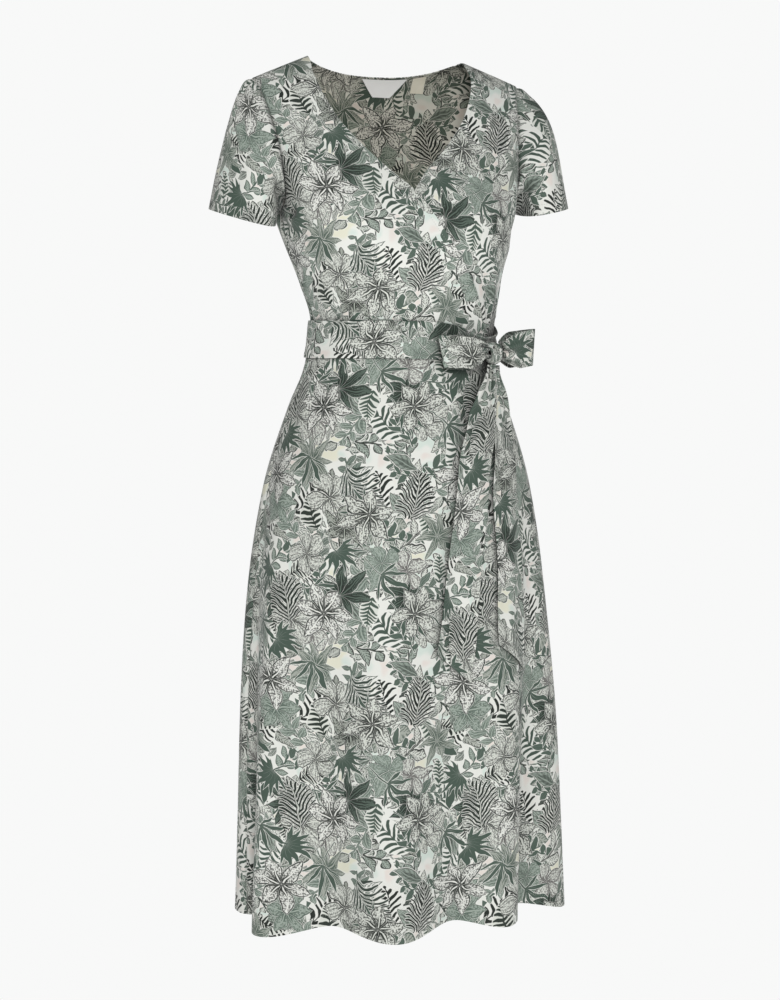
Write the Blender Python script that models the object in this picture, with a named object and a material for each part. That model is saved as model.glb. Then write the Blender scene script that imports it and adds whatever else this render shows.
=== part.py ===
"""A wrap dress in its worn, filled-out form with nobody in it.

Metres, +Z up. The dress faces -Y, so the wearer's left is +X. The origin lies
between the two shoulder seams, at the height of the neck points.

Every piece of cloth is a wall of even thickness on one shared form. A place on
that form is given by two numbers: "turn", which runs from 0 at the right side
seam, through 0.25 at the centre front and 0.5 at the left side seam, to 0.75 at
the centre back; and "drop", the height below the neck points. "lift" moves a
place straight out from the form, so that layers lie on one another.
"""

import bmesh
import bpy
import numpy as np
from mathutils import Vector
from mathutils.bvhtree import BVHTree

# ---------------------------------------------------------------- sizes
CLOTH = 0.0012                # thickness of a wall
SEAM_GAP = 0.0003             # clear space between two pieces at a seam
WRAP_LIFT = 0.0030            # how far the top wrap lies outside the under wrap
BELT_LIFT = 0.0026            # how far the belt lies outside what it goes round
WAIST_DROP = 0.372            # waist seam
BELT_TOP = 0.342
BELT_BOTTOM = 0.391
BELT_SAG = 0.009              # the knot pulls the belt down by this, over
BELT_SAG_TURNS = 0.09         # this many turns to each side
HEM_DROP = 1.112
NECK_HALF_WIDTH = 0.105       # centre back to a neck point
BACK_NECK_DROP = 0.019
V_DROP = 0.180                # where the two front edges cross
V_X = 0.000                   # and where along X they do
SHOULDER_FALL_RIGHT = 0.034   # fall of the shoulder seam from neck point to tip
SHOULDER_FALL_LEFT = 0.027
SHOULDER_TIP = 0.184          # centre to shoulder tip
SHOULDER_TILT = 0.016         # the left shoulder hangs a little lower, per metre of width
ARMHOLE_DROP = 0.203
ARMHOLE_FRONT_SCOOP = 0.078   # how far, in turns, an armhole cuts into the front
ARMHOLE_BACK_SCOOP = 0.074
ARMHOLE_TIP_TURN = 0.040      # turns from the side seam to the shoulder tip
SHOULDER_DROP = 4e-6          # keeps the front and the back clear of each other at the shoulder
LEFT_SIDE_TURN = 0.5

# The form's cross-sections: half width, depth to the front and to the back of
# the side seams, how far the section's centre is moved, and how much squarer
# than an ellipse it is.
FORM = {
    "drop":    (0.00, 0.010, 0.029, 0.057, 0.095, 0.144, 0.208, 0.244, 0.294,
                0.344, 0.372, 0.404, 0.454, 0.554, 0.684, 0.874, 0.994, 1.160),
    "half":    (0.190, 0.189, 0.186, 0.182, 0.176, 0.168, 0.1575, 0.1475, 0.1335,
                0.123, 0.1235, 0.129, 0.147, 0.178, 0.1985, 0.213, 0.2165, 0.2205),
    "front":   (0.000, 0.028, 0.046, 0.061, 0.078, 0.098, 0.114, 0.115, 0.104,
                0.095, 0.092, 0.096, 0.108, 0.128, 0.142, 0.153, 0.158, 0.164),
    "back":    (0.000, 0.032, 0.054, 0.071, 0.083, 0.089, 0.088, 0.086, 0.084,
                0.086, 0.088, 0.095, 0.112, 0.138, 0.150, 0.158, 0.162, 0.168),
    "move_x":  (0.004, 0.004, 0.004, 0.005, 0.006, 0.007, 0.0085, 0.0105, 0.015,
                0.018, 0.015, 0.0145, 0.012, 0.011, 0.011, 0.013, 0.0145, 0.016),
    "move_y":  (0.000, 0.000, -0.002, -0.004, -0.007, -0.011, -0.016, -0.018, -0.021,
                -0.024, -0.025, -0.025, -0.025, -0.024, -0.023, -0.023, -0.023, -0.023),
    "square":  (0.000, 0.020, 0.050, 0.080, 0.100, 0.100, 0.080, 0.060, 0.030,
                0.010, 0.000, 0.000, 0.000, 0.000, 0.000, 0.000, 0.000, 0.000),
}

# Bust shaping: two soft rises of the front, each with its place across, its drop,
# how far it stands out and how wide it spreads.
BUST = {"across": 0.078, "drop": 0.226, "rise": 0.011, "spread": 0.050}

# How far along X the free edges of the fronts lie, from the neck points past the V
# to the waist.
RIGHT_EDGE = {
    "drop": (0.000, 0.019, 0.038, 0.079, 0.120, 0.154, V_DROP, 0.244, 0.304, WAIST_DROP),
    "x":    (-0.105, -0.104, -0.099, -0.083, -0.058, -0.029, V_X, 0.046, 0.084, 0.110),
}
LEFT_EDGE = {
    "drop": (0.000, 0.019, 0.038, 0.079, 0.120, 0.154, V_DROP, 0.244, 0.304, WAIST_DROP),
    "x":    (0.105, 0.104, 0.099, 0.081, 0.052, 0.019, V_X, -0.040, -0.062, -0.075),
}

# Where the top wrap leaves the form: over these turns from its side seam, and over
# these drops from its shoulder. The belt comes down again over the last turns.
WRAP_RISE_TURNS = (0.070, 0.120)
WRAP_RISE_DROPS = (0.110, 0.165)
BELT_FALL_TURNS = (0.430, 0.470)

# Turn of each skirt front's free edge, at the waist and on down to the hem.
TOP_SKIRT_EDGE = {"drop": (WAIST_DROP, 0.560, 0.880, 1.160), "turn": (0.412, 0.366, 0.342, 0.329)}
UNDER_SKIRT_EDGE = {"drop": (WAIST_DROP, 0.560, 0.880, 1.160), "turn": (0.150, 0.150, 0.140, 0.130)}

# The skirt's folds: turn at the hem, turn at the waist, how far the fold
# stands out at the hem (negative for a trough), its half width in turns, and
# the drop at which it starts.
FOLDS = (
    {"hem": -0.040, "waist": -0.020, "out": 0.006, "width": 0.030, "start": 0.50},
    {"hem": 0.018, "waist": 0.010, "out": -0.020, "width": 0.020, "start": 0.46},
    {"hem": 0.068, "waist": 0.050, "out": 0.018, "width": 0.036, "start": 0.44},
    {"hem": 0.145, "waist": 0.135, "out": -0.018, "width": 0.036, "start": 0.52},
    {"hem": 0.206, "waist": 0.200, "out": 0.022, "width": 0.036, "start": 0.46},
    {"hem": 0.268, "waist": 0.275, "out": -0.020, "width": 0.034, "start": 0.54},
    {"hem": 0.316, "waist": 0.350, "out": 0.012, "width": 0.026, "start": 0.44},
    {"hem": 0.360, "waist": 0.400, "out": -0.022, "width": 0.026, "start": 0.50},
    {"hem": 0.425, "waist": 0.440, "out": 0.010, "width": 0.034, "start": 0.46},
    {"hem": 0.490, "waist": 0.490, "out": -0.014, "width": 0.028, "start": 0.50},
    {"hem": 0.555, "waist": 0.545, "out": 0.018, "width": 0.036, "start": 0.46},
    {"hem": 0.635, "waist": 0.620, "out": -0.018, "width": 0.038, "start": 0.52},
    {"hem": 0.705, "waist": 0.690, "out": 0.018, "width": 0.036, "start": 0.46},
    {"hem": 0.780, "waist": 0.770, "out": -0.018, "width": 0.036, "start": 0.54},
    {"hem": 0.850, "waist": 0.850, "out": 0.020, "width": 0.036, "start": 0.46},
    {"hem": 0.915, "waist": 0.925, "out": -0.012, "width": 0.030, "start": 0.50},
)
FOLD_GROWTH = 1.15            # a fold deepens a little faster than it drops
FOLD_NARROW = 0.75            # share of its width that a fold has where it starts
FOLD_SHARPNESS = 1.4

# The hem is not level: extra drop of the hem round the skirt.
HEM_WAVE = {
    "turn":  (0.000, 0.018, 0.034, 0.068, 0.145, 0.206, 0.268, 0.316, 0.333, 0.360,
              0.425, 0.500, 0.600, 0.700, 0.800, 0.900, 1.000),
    "extra": (-0.002, -0.004, 0.010, 0.013, -0.002, 0.010, -0.004, 0.004, 0.000, -0.010,
              0.004, 0.000, 0.002, -0.002, 0.003, -0.002, -0.002),
}

# Sleeves: the cuff ring, with its half sizes and its tilt in degrees, and how far
# the sleeve head stands out. The long axis of the ring is turned, in degrees, so
# that its front end points inwards.
SLEEVES = {
    "sleeve_right": {
        "side": -1, "cuff_x": 0.199, "cuff_y": -0.012, "cuff_z": -0.208,
        "half_thick": 0.032, "half_deep": 0.059, "tilt": 17.0, "head": 0.036,
    },
    "sleeve_left": {
        "side": 1, "cuff_x": 0.2185, "cuff_y": -0.012, "cuff_z": -0.199,
        "half_thick": 0.036, "half_deep": 0.059, "tilt": 12.0, "head": 0.064,
    },
}
CUFF_TURNED = 20.0
SLEEVE_GAP = SEAM_GAP + CLOTH * 0.75
# Way the sleeve leaves the armhole: outwards, to the front or back, down at the
# shoulder, and how much more steeply down at the underarm.
SLEEVE_WAY = {"out": 0.85, "ahead": 0.35, "down": 0.34, "under": 0.30}
UNDERARM_HEAD = 0.006
CUFF_STRAIGHT = {"mean": 0.036, "more_outside": 0.030}    # straight run above the cuff

# Bow: where the knot sits on the belt and its size, the loops and the tails.
KNOT = {"turn": 0.381, "drop": 0.387, "half_along": 0.0105, "half_high": 0.0125, "half_deep": 0.0085}
KNOT_CLEAR = 0.0006
KNOT_FOLDS = 0.05             # share by which the folds of the wrapped belt stand out
LOOP_HALF_WIDTH = 0.0235
LOOP_PINCHED = 0.0085         # half width where a loop is gathered into the knot
LOOP_PLEATS = 0.0016          # height of the gathers, which run out over
PLEAT_RUN = 0.048             # this length
LOOP_END_SPACE = 0.0026       # half the space between a loop's two ends
FRONT_LOOP = {
    "length": 0.064, "open": 0.0065, "from_knot": 0.0045, "raised": 0.003, "rise": 0.02, "clear": 0.004,
}
SIDE_LOOP = {"length": 0.059, "open": 0.0080, "from_knot": 0.0032, "away": (0.93, 0.35, 0.08)}
TAIL_HALF_WIDTH = 0.0245
TAIL_PINCHED = 0.0085
TAIL_OPENS = 0.085            # length over which a tail opens to its full width

# Middle lines of the tails, with their lift off the form.
FRONT_TAIL = {
    "drop": (0.402, 0.430, 0.470, 0.520, 0.580, 0.660, 0.740, 0.782),
    "turn": (0.3720, 0.358, 0.333, 0.310, 0.2985, 0.2845, 0.276, 0.270),
    "lift": (0.0140, 0.0120, 0.0100, 0.0080, 0.0068, 0.0064, 0.0062, 0.0062),
}
SIDE_TAIL = {
    "drop": (0.402, 0.430, 0.470, 0.520, 0.580, 0.660, 0.740, 0.775),
    "turn": (0.3920, 0.392, 0.380, 0.364, 0.350, 0.346, 0.340, 0.339),
    "lift": (0.0108, 0.0088, 0.0072, 0.0064, 0.0062, 0.0062, 0.0062, 0.0062),
}
TAIL_SLANT = 0.020            # how much further a tail's outer corner hangs

LABEL = {"thick": 0.0010, "half_top": 0.031, "half_bottom": 0.012, "high": 0.022, "x": 0.015}
TAB = {"thick": 0.0010, "half_top": 0.0085, "half_bottom": 0.0085, "high": 0.015, "x": 0.062}
LABEL_BELOW_EDGE = 0.002

# Number of faces along each piece.
SKIRT_ROWS = 15
ROW_SPREAD = 1.45             # rows lie closer together towards the waist
TOP_SKIRT_COLUMNS = 34
UNDER_SKIRT_COLUMNS = 34
BACK_SKIRT_COLUMNS = 38
BODICE_LOWER_ROWS = 8
BODICE_UPPER_ROWS = 12
UPWARD_SPREAD = 1.5           # lower rows lie closer together towards the bust
FRONT_COLUMNS = 20
BACK_SHOULDER_COLUMNS = 4
BACK_NECK_COLUMNS = 10
SLEEVE_COLUMNS = 2 * BODICE_UPPER_ROWS
SLEEVE_ROWS = 6
BELT_COLUMNS = 64
BELT_ROWS = 3
LOOP_STEPS = 22
LOOP_ROWS = 6
TAIL_ROWS = 16
TAIL_COLUMNS = 4
LABEL_ROWS = 4
LABEL_COLUMNS = 8

PRINT_COLOUR = (0.52, 0.55, 0.51)
LABEL_COLOUR = (0.90, 0.89, 0.86)


# ---------------------------------------------------------------- reading the tables
def smooth_curve(places, values, at):
    """Value at these places on a smooth curve through the points, with no overshoot."""
    places = np.asarray(places, float)
    values = np.asarray(values, float)
    slopes = np.diff(values) / np.diff(places)
    before, after = slopes[:-1], slopes[1:]
    same_way = before * after > 0
    total = np.where(same_way, before + after, 1.0)
    inner = np.where(same_way, 2 * before * after / total, 0.0)
    tangents = np.concatenate([slopes[:1], inner, slopes[-1:]])
    at = np.clip(at, places[0], places[-1])
    index = np.clip(np.searchsorted(places, at) - 1, 0, len(places) - 2)
    step = places[index + 1] - places[index]
    t = (at - places[index]) / step
    return (
        values[index] * (1 + 2 * t) * (1 - t) ** 2
        + values[index + 1] * t * t * (3 - 2 * t)
        + step * t * (1 - t) * (tangents[index] * (1 - t) - tangents[index + 1] * t)
    )


def read(table, column, drop):
    """A column of a table at these drops. The curve runs in the root of the drop,
    which keeps the shoulder line round."""
    return smooth_curve(np.sqrt(table["drop"]), table[column], np.sqrt(drop))


def ease(value, start, end):
    """0 before start, 1 after end, and smooth between them."""
    t = np.clip((value - start) / (end - start), 0, 1)
    return t * t * (3 - 2 * t)


# ---------------------------------------------------------------- the form
def fold_offset(turn, drop):
    """How far the skirt's folds stand out."""
    depth = 0.0
    for fold in FOLDS:
        down = np.clip((drop - fold["start"]) / (HEM_DROP - fold["start"]), 0, 1.1)
        middle = fold["waist"] + (fold["hem"] - fold["waist"]) * down
        away = (turn - middle + 0.5) % 1.0 - 0.5
        width = fold["width"] * (FOLD_NARROW + (1 - FOLD_NARROW) * down)
        depth = depth + fold["out"] * down ** FOLD_GROWTH * np.exp(-((away / width) ** 2) * FOLD_SHARPNESS)
    return depth


def form(turn, root):
    """Points of the bare form. root is the square root of the drop."""
    drop = root ** 2
    angle = 2 * np.pi * turn
    fuller = 1 + read(FORM, "square", drop) * np.sin(2 * angle) ** 2
    half = read(FORM, "half", drop) * fuller
    depth = np.where(np.sin(angle) > 0, read(FORM, "front", drop), read(FORM, "back", drop)) * fuller
    x = -half * np.cos(angle)
    y = -depth * np.sin(angle)
    out_x = -np.cos(angle) * depth
    out_y = -np.sin(angle) * half
    length = np.hypot(out_x, out_y) + 1e-9
    stand = fold_offset(turn, drop)
    stand_x = stand * out_x / length
    stand_y = stand * out_y / length
    for side in (-1, 1):
        apart = ((x - side * BUST["across"]) ** 2 + (drop - BUST["drop"]) ** 2) / BUST["spread"] ** 2
        y = y - BUST["rise"] * np.exp(-apart) * ease(np.sin(angle), 0.0, 0.5)
    fall = np.where(x < 0, SHOULDER_FALL_RIGHT, SHOULDER_FALL_LEFT)
    slope = fall * np.clip(
        (np.abs(x) - NECK_HALF_WIDTH) / (SHOULDER_TIP - NECK_HALF_WIDTH), 0, 1.3
    ) + SHOULDER_TILT * (x + NECK_HALF_WIDTH)
    fade = np.clip(1 - drop / ARMHOLE_DROP, 0, 1) ** 1.5
    return np.stack([
        x + stand_x + read(FORM, "move_x", drop),
        y + stand_y + read(FORM, "move_y", drop),
        -drop - slope * fade,
    ], axis=-1)


def surface(turn, drop, lift=0.0):
    """(points, outward directions) on the form, moved out by lift."""
    turn, drop, lift = np.broadcast_arrays(
        np.asarray(turn, float), np.asarray(drop, float), np.asarray(lift, float)
    )
    root = np.sqrt(drop)
    step = 2e-4
    along = form(turn + step, root) - form(turn - step, root)
    down = form(turn, root + step) - form(turn, np.maximum(root - step, 0))
    out = np.cross(down, along)
    out = out / np.linalg.norm(out, axis=-1, keepdims=True)
    return form(turn, root) + out * lift[..., None], out


def wrap_lift(turn, drop):
    """Lift of the top wrap: none at its side seam and shoulder, full over the under wrap."""
    return WRAP_LIFT * ease(turn, *WRAP_RISE_TURNS) * ease(drop, *WRAP_RISE_DROPS)


def belt_lift(turn):
    """Lift of the belt's middle, over the top wrap in front and on the back elsewhere."""
    over_wrap = ease(turn + 0.008, *WRAP_RISE_TURNS) * (1 - ease(turn, *BELT_FALL_TURNS))
    return BELT_LIFT + WRAP_LIFT * over_wrap


def metres_per_turn(turn, drop):
    """Length of cloth per turn round the form at a place."""
    step = 1e-3
    there = form(np.asarray(turn + step, float), np.sqrt(drop))
    back = form(np.asarray(turn - step, float), np.sqrt(drop))
    return np.linalg.norm(there - back, axis=-1) / (2 * step)


# ---------------------------------------------------------------- walls
def material(name, colour):
    made = bpy.data.materials.new(name)
    made.use_nodes = True
    shader = made.node_tree.nodes["Principled BSDF"]
    shader.inputs["Base Color"].default_value = (*colour, 1.0)
    shader.inputs["Roughness"].default_value = 0.85
    shader.inputs["Metallic"].default_value = 0.0
    made.diffuse_color = (*colour, 1.0)
    return made


def wall(name, middle, out, thickness=CLOTH, closed=False, colour=PRINT_COLOUR):
    """One closed wall about a grid of points, rows by columns. closed joins its
    last column to its first. out is the outward direction at each point."""
    rows, columns = middle.shape[:2]
    skins = [middle + out * thickness / 2, middle - out * thickness / 2]
    mesh = bmesh.new()
    grids = [
        [[mesh.verts.new(skin[r, c]) for c in range(columns)] for r in range(rows)]
        for skin in skins
    ]
    spans = [(c, (c + 1) % columns) for c in range(columns if closed else columns - 1)]
    for grid in grids:
        for r in range(rows - 1):
            for a, b in spans:
                mesh.faces.new((grid[r][a], grid[r][b], grid[r + 1][b], grid[r + 1][a]))
    outer, inner = grids
    for r in (0, rows - 1):
        for a, b in spans:
            mesh.faces.new((outer[r][a], outer[r][b], inner[r][b], inner[r][a]))
    if not closed:
        for c in (0, columns - 1):
            for r in range(rows - 1):
                mesh.faces.new((outer[r][c], outer[r + 1][c], inner[r + 1][c], inner[r][c]))
    return finish(name, mesh, colour)


def finish(name, mesh, colour):
    """Turns a bmesh into a smooth-shaded object with its material."""
    bmesh.ops.recalc_face_normals(mesh, faces=mesh.faces)
    data = bpy.data.meshes.new(name)
    mesh.to_mesh(data)
    mesh.free()
    data.shade_smooth()
    data.set_sharp_from_angle(angle=np.radians(50))
    data.materials.append(material(name + "_cloth", colour))
    made = bpy.data.objects.new(name, data)
    bpy.context.scene.collection.objects.link(made)
    return made


def spread(first, last, count):
    """count + 1 even steps from first to last, the ends given for each row."""
    share = np.linspace(0, 1, count + 1)
    return first[:, None] + (last - first)[:, None] * share[None, :]


# ---------------------------------------------------------------- bodice
def armhole(share, scoop):
    """(turn, drop) along one half of an armhole, share 0 at the underarm and 1
    at the shoulder tip. turn is counted from the side seam."""
    drop = ARMHOLE_DROP * np.cos(np.pi * share / 2) ** 2
    turn = scoop * np.sin(np.pi * share) + ARMHOLE_TIP_TURN * np.clip(2 * share - 1, 0, 1) ** 2
    return turn, np.maximum(drop, SHOULDER_DROP)


def lower_rows(top):
    """Drops from the waist seam up to just under top, closer together towards it."""
    share = 1 - (1 - np.arange(BODICE_LOWER_ROWS) / BODICE_LOWER_ROWS) ** UPWARD_SPREAD
    return WAIST_DROP - SEAM_GAP / 2 + (top - WAIST_DROP) * share


def bodice_side(scoop):
    """(turn, drop) of a bodice piece's side: up the side seam, then round the armhole."""
    lower = lower_rows(ARMHOLE_DROP)
    turn, drop = armhole(np.linspace(0, 1, BODICE_UPPER_ROWS + 1), scoop)
    half_gap = SEAM_GAP / 2 / metres_per_turn(0.0, 0.3)
    turn = np.concatenate([np.zeros(BODICE_LOWER_ROWS), turn]) + half_gap
    return turn, np.concatenate([lower, drop])


def turn_at(x, drop):
    """Turn of the place on the front of the form with this x."""
    across = (x - read(FORM, "move_x", drop)) / read(FORM, "half", drop)
    return 0.25 + np.arcsin(np.clip(across, -1, 1)) / (2 * np.pi)


def front_edge(edge):
    """(turn, drop) of a front's free edge, from the waist up past the V to the neck point."""
    upper = V_DROP * np.cos(np.pi * np.linspace(0, 1, BODICE_UPPER_ROWS + 1) / 2) ** 2
    drop = np.concatenate([lower_rows(V_DROP), np.maximum(upper, SHOULDER_DROP)])
    return turn_at(read(edge, "x", drop), drop), drop


def bodice_front(name, edge, on_top):
    """A front bodice. The right one wraps on top of the left one."""
    side_turn, side_drop = bodice_side(ARMHOLE_FRONT_SCOOP)
    if not on_top:
        side_turn = LEFT_SIDE_TURN - side_turn
    free_turn, free_drop = front_edge(edge)
    turn = spread(side_turn, free_turn, FRONT_COLUMNS)
    drop = spread(side_drop, free_drop, FRONT_COLUMNS)
    middle, out = surface(turn, drop, wrap_lift(turn, drop) if on_top else 0.0)
    return wall(name, middle, out)


def back_neck_drop(x):
    return BACK_NECK_DROP * (1 - np.clip(np.abs(x) / NECK_HALF_WIDTH, 0, 1) ** 2.5)


def bodice_back():
    """The back bodice, from the left side seam round the back to the right one."""
    side_turn, side_drop = bodice_side(ARMHOLE_BACK_SCOOP)
    left_neck = 1.0 - turn_at(NECK_HALF_WIDTH, SHOULDER_DROP) + 0 * side_drop
    right_neck = 1.0 - turn_at(-NECK_HALF_WIDTH, SHOULDER_DROP) + 0 * side_drop
    turn = np.concatenate([
        spread(LEFT_SIDE_TURN + side_turn, left_neck, BACK_SHOULDER_COLUMNS),
        spread(left_neck, right_neck, BACK_NECK_COLUMNS)[:, 1:],
        spread(right_neck, 1.0 - side_turn, BACK_SHOULDER_COLUMNS)[:, 1:],
    ], axis=1)
    share = np.clip(1 - side_drop / WAIST_DROP, 0, 1)
    top_drop = back_neck_drop(form(turn[-1], np.full(turn.shape[1], 1e-3))[:, 0])
    drop = side_drop[:, None] + np.maximum(top_drop, 0)[None, :] * share[:, None] ** 2
    middle, out = surface(turn, drop)
    return wall("bodice_back", middle, out)


# ---------------------------------------------------------------- sleeves
def sleeve(name, sizes):
    """A short set-in sleeve, from the armhole to its open cuff."""
    side = sizes["side"]
    around = np.arange(SLEEVE_COLUMNS) / SLEEVE_COLUMNS
    in_front = around < 0.5
    share = np.where(in_front, 1 - 2 * around, 2 * around - 1)
    front_turn, drop = armhole(share, ARMHOLE_FRONT_SCOOP)
    back_turn, _ = armhole(share, ARMHOLE_BACK_SCOOP)
    turn = np.where(in_front, front_turn, -back_turn)
    if side > 0:
        turn = LEFT_SIDE_TURN - turn
    start, _ = surface(turn, drop)
    angle = 2 * np.pi * around
    high, ahead = np.cos(angle), np.sin(angle)
    leave = np.stack([
        side * SLEEVE_WAY["out"] + 0 * high,
        -SLEEVE_WAY["ahead"] * ahead,
        -SLEEVE_WAY["down"] - SLEEVE_WAY["under"] * (1 - high) / 2,
    ], axis=-1)
    leave /= np.linalg.norm(leave, axis=-1, keepdims=True)
    tilt, turned = np.radians(sizes["tilt"]), np.radians(CUFF_TURNED)
    axis = np.array([side * np.sin(tilt), 0, -np.cos(tilt)])
    outward = np.array([side * np.cos(tilt), 0, np.sin(tilt)])
    forward = np.array([0.0, -1.0, 0.0])
    thick = sizes["half_thick"] * high
    deep = sizes["half_deep"] * ahead
    across = thick * np.cos(turned) - deep * np.sin(turned)
    along = thick * np.sin(turned) + deep * np.cos(turned)
    centre = np.array([side * sizes["cuff_x"], sizes["cuff_y"], sizes["cuff_z"]])
    end = centre + across[:, None] * outward + along[:, None] * forward
    reach_out = (UNDERARM_HEAD + (sizes["head"] - UNDERARM_HEAD) * (1 + high) / 2)[:, None]
    reach_in = (CUFF_STRAIGHT["mean"] + CUFF_STRAIGHT["more_outside"] * high)[:, None]
    t = np.linspace(0, 1, SLEEVE_ROWS + 1)[:, None, None]
    begin = start + SLEEVE_GAP * leave
    middle = (
        begin * (1 - t) ** 3
        + (begin + leave * reach_out) * 3 * t * (1 - t) ** 2
        + (end - axis * reach_in) * 3 * t ** 2 * (1 - t)
        + end * t ** 3
    )
    round_ = np.roll(middle, -1, axis=1) - np.roll(middle, 1, axis=1)
    down = np.gradient(middle, axis=0)
    out = np.cross(round_, down) * side
    out /= np.linalg.norm(out, axis=-1, keepdims=True)
    return wall(name, middle, out, closed=True)


# ---------------------------------------------------------------- skirt
def hem_drop(turn):
    return HEM_DROP + smooth_curve(HEM_WAVE["turn"], HEM_WAVE["extra"], turn % 1.0)


def skirt_piece(name, first, last, columns, lift=None):
    """A skirt panel between two edges, each a function from drop to turn."""
    share = np.linspace(0, 1, SKIRT_ROWS + 1) ** ROW_SPREAD
    drop = WAIST_DROP + SEAM_GAP / 2 + (HEM_DROP - WAIST_DROP) * share
    turn = spread(first(drop), last(drop), columns)
    hem = hem_drop(turn[-1])
    drop = drop[:, None] + (hem - HEM_DROP)[None, :] * share[:, None] ** 2
    middle, out = surface(turn, drop, lift(turn, drop) if lift else 0.0)
    return wall(name, middle, out)


def skirt():
    def beside_seam(turn):
        return lambda drop: SEAM_GAP / 2 / metres_per_turn(turn, drop)

    skirt_piece(
        "skirt_front_right",
        beside_seam(0.0),
        lambda drop: smooth_curve(TOP_SKIRT_EDGE["drop"], TOP_SKIRT_EDGE["turn"], drop),
        TOP_SKIRT_COLUMNS,
        wrap_lift,
    )
    skirt_piece(
        "skirt_front_left",
        lambda drop: smooth_curve(UNDER_SKIRT_EDGE["drop"], UNDER_SKIRT_EDGE["turn"], drop),
        lambda drop: LEFT_SIDE_TURN - beside_seam(LEFT_SIDE_TURN)(drop),
        UNDER_SKIRT_COLUMNS,
    )
    skirt_piece(
        "skirt_back",
        lambda drop: LEFT_SIDE_TURN + beside_seam(LEFT_SIDE_TURN)(drop),
        lambda drop: 1.0 - beside_seam(0.0)(drop),
        BACK_SKIRT_COLUMNS,
    )


# ---------------------------------------------------------------- belt and bow
def belt_band():
    """The belt, all round the waist, its two ends meeting behind the knot."""
    half_gap = SEAM_GAP / metres_per_turn(KNOT["turn"], WAIST_DROP)
    turn = np.linspace(KNOT["turn"] + half_gap, KNOT["turn"] + 1 - half_gap, BELT_COLUMNS + 1) % 1.0
    drop = np.linspace(BELT_TOP, BELT_BOTTOM, BELT_ROWS + 1)
    turn, drop = np.meshgrid(turn, drop)
    sag = BELT_SAG * np.exp(-(((turn - KNOT["turn"]) / BELT_SAG_TURNS) ** 2))
    middle, out = surface(turn, drop + sag, belt_lift(turn))
    return wall("belt_band", middle, out)


def knot_frame():
    """Centre of the knot and its three directions: along the belt towards the
    back, up, and out."""
    lift = belt_lift(KNOT["turn"]) + CLOTH / 2 + SEAM_GAP + KNOT["half_deep"] + KNOT_CLEAR
    centre, out = surface(KNOT["turn"], KNOT["drop"], lift)
    ahead, _ = surface(KNOT["turn"] + 0.004, KNOT["drop"], lift)
    along = ahead - centre
    along /= np.linalg.norm(along)
    up = np.cross(out, along)
    return centre, along, up, out


def bow_knot():
    """The knot: a rounded lump with the wrap's folds running over it."""
    centre, along, up, out = knot_frame()
    mesh = bmesh.new()
    bmesh.ops.create_uvsphere(mesh, u_segments=18, v_segments=12, radius=1.0)
    for vert in mesh.verts:
        a, b, c = vert.co.y, vert.co.z, vert.co.x
        folds = KNOT_FOLDS * np.cos(9 * a)
        squarer = 1 + 0.10 * abs(a * b) - folds * (1 - abs(b))
        vert.co = (
            centre
            + along * KNOT["half_along"] * a * squarer
            + up * KNOT["half_high"] * b * squarer
            + out * KNOT["half_deep"] * c * (1 - folds)
        )
    return finish("bow_knot", mesh, PRINT_COLOUR)


def loop_grid(sizes):
    """(along, out, across) for a loop's grid of points: how far from the knot, how
    far out and how far up its width each one lies. The loop runs out from the knot
    and back, gathered at both ends."""
    share = np.linspace(0, 1, LOOP_STEPS + 1)[:, None]
    side = np.linspace(-1, 1, LOOP_ROWS + 1)[None, :]
    along = sizes["length"] * (1 - np.cos(2 * np.pi * share)) / 2
    open_ = ease(along, -0.1 * sizes["length"], 0.62 * sizes["length"])
    half = LOOP_PINCHED + (LOOP_HALF_WIDTH - LOOP_PINCHED) * open_
    pleats = LOOP_PLEATS * np.cos(2 * np.pi * side) * (1 - ease(along, 0, PLEAT_RUN))
    out = sizes["open"] * np.sin(2 * np.pi * share) + LOOP_END_SPACE * np.cos(np.pi * share) + pleats
    return along + 0 * side, out, half * side


def bow_loop_front():
    """The loop that lies across the front of the skirt."""
    along, out, across = loop_grid(FRONT_LOOP)
    start = KNOT["half_along"] + FRONT_LOOP["from_knot"]
    turn = KNOT["turn"] - (along + start) / metres_per_turn(KNOT["turn"] - 0.05, WAIST_DROP)
    drop = KNOT["drop"] - FRONT_LOOP["raised"] - FRONT_LOOP["rise"] * along + across
    clear = BELT_LIFT + WRAP_LIFT + CLOTH + SEAM_GAP + FRONT_LOOP["open"] + FRONT_LOOP["clear"]
    middle, _ = surface(turn, drop, clear + out)
    return wall("bow_loop_front", middle, grid_normals(middle))


def bow_loop_side():
    """The loop that stands out past the waist at the wearer's left."""
    centre, _, _, _ = knot_frame()
    away = np.array(SIDE_LOOP["away"])
    away /= np.linalg.norm(away)
    sideways = np.cross(away, (0.0, 0.0, 1.0))
    sideways /= np.linalg.norm(sideways)
    up = np.cross(sideways, away)
    along, out, across = loop_grid(SIDE_LOOP)
    start = KNOT["half_along"] + SIDE_LOOP["from_knot"]
    middle = (
        centre
        + (along + start)[..., None] * away
        + out[..., None] * sideways
        + across[..., None] * up
    )
    return wall("bow_loop_side", middle, grid_normals(middle))


def grid_normals(middle):
    """Directions square to a grid of points."""
    out = np.cross(np.gradient(middle, axis=0), np.gradient(middle, axis=1))
    return out / np.linalg.norm(out, axis=-1, keepdims=True)


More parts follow.
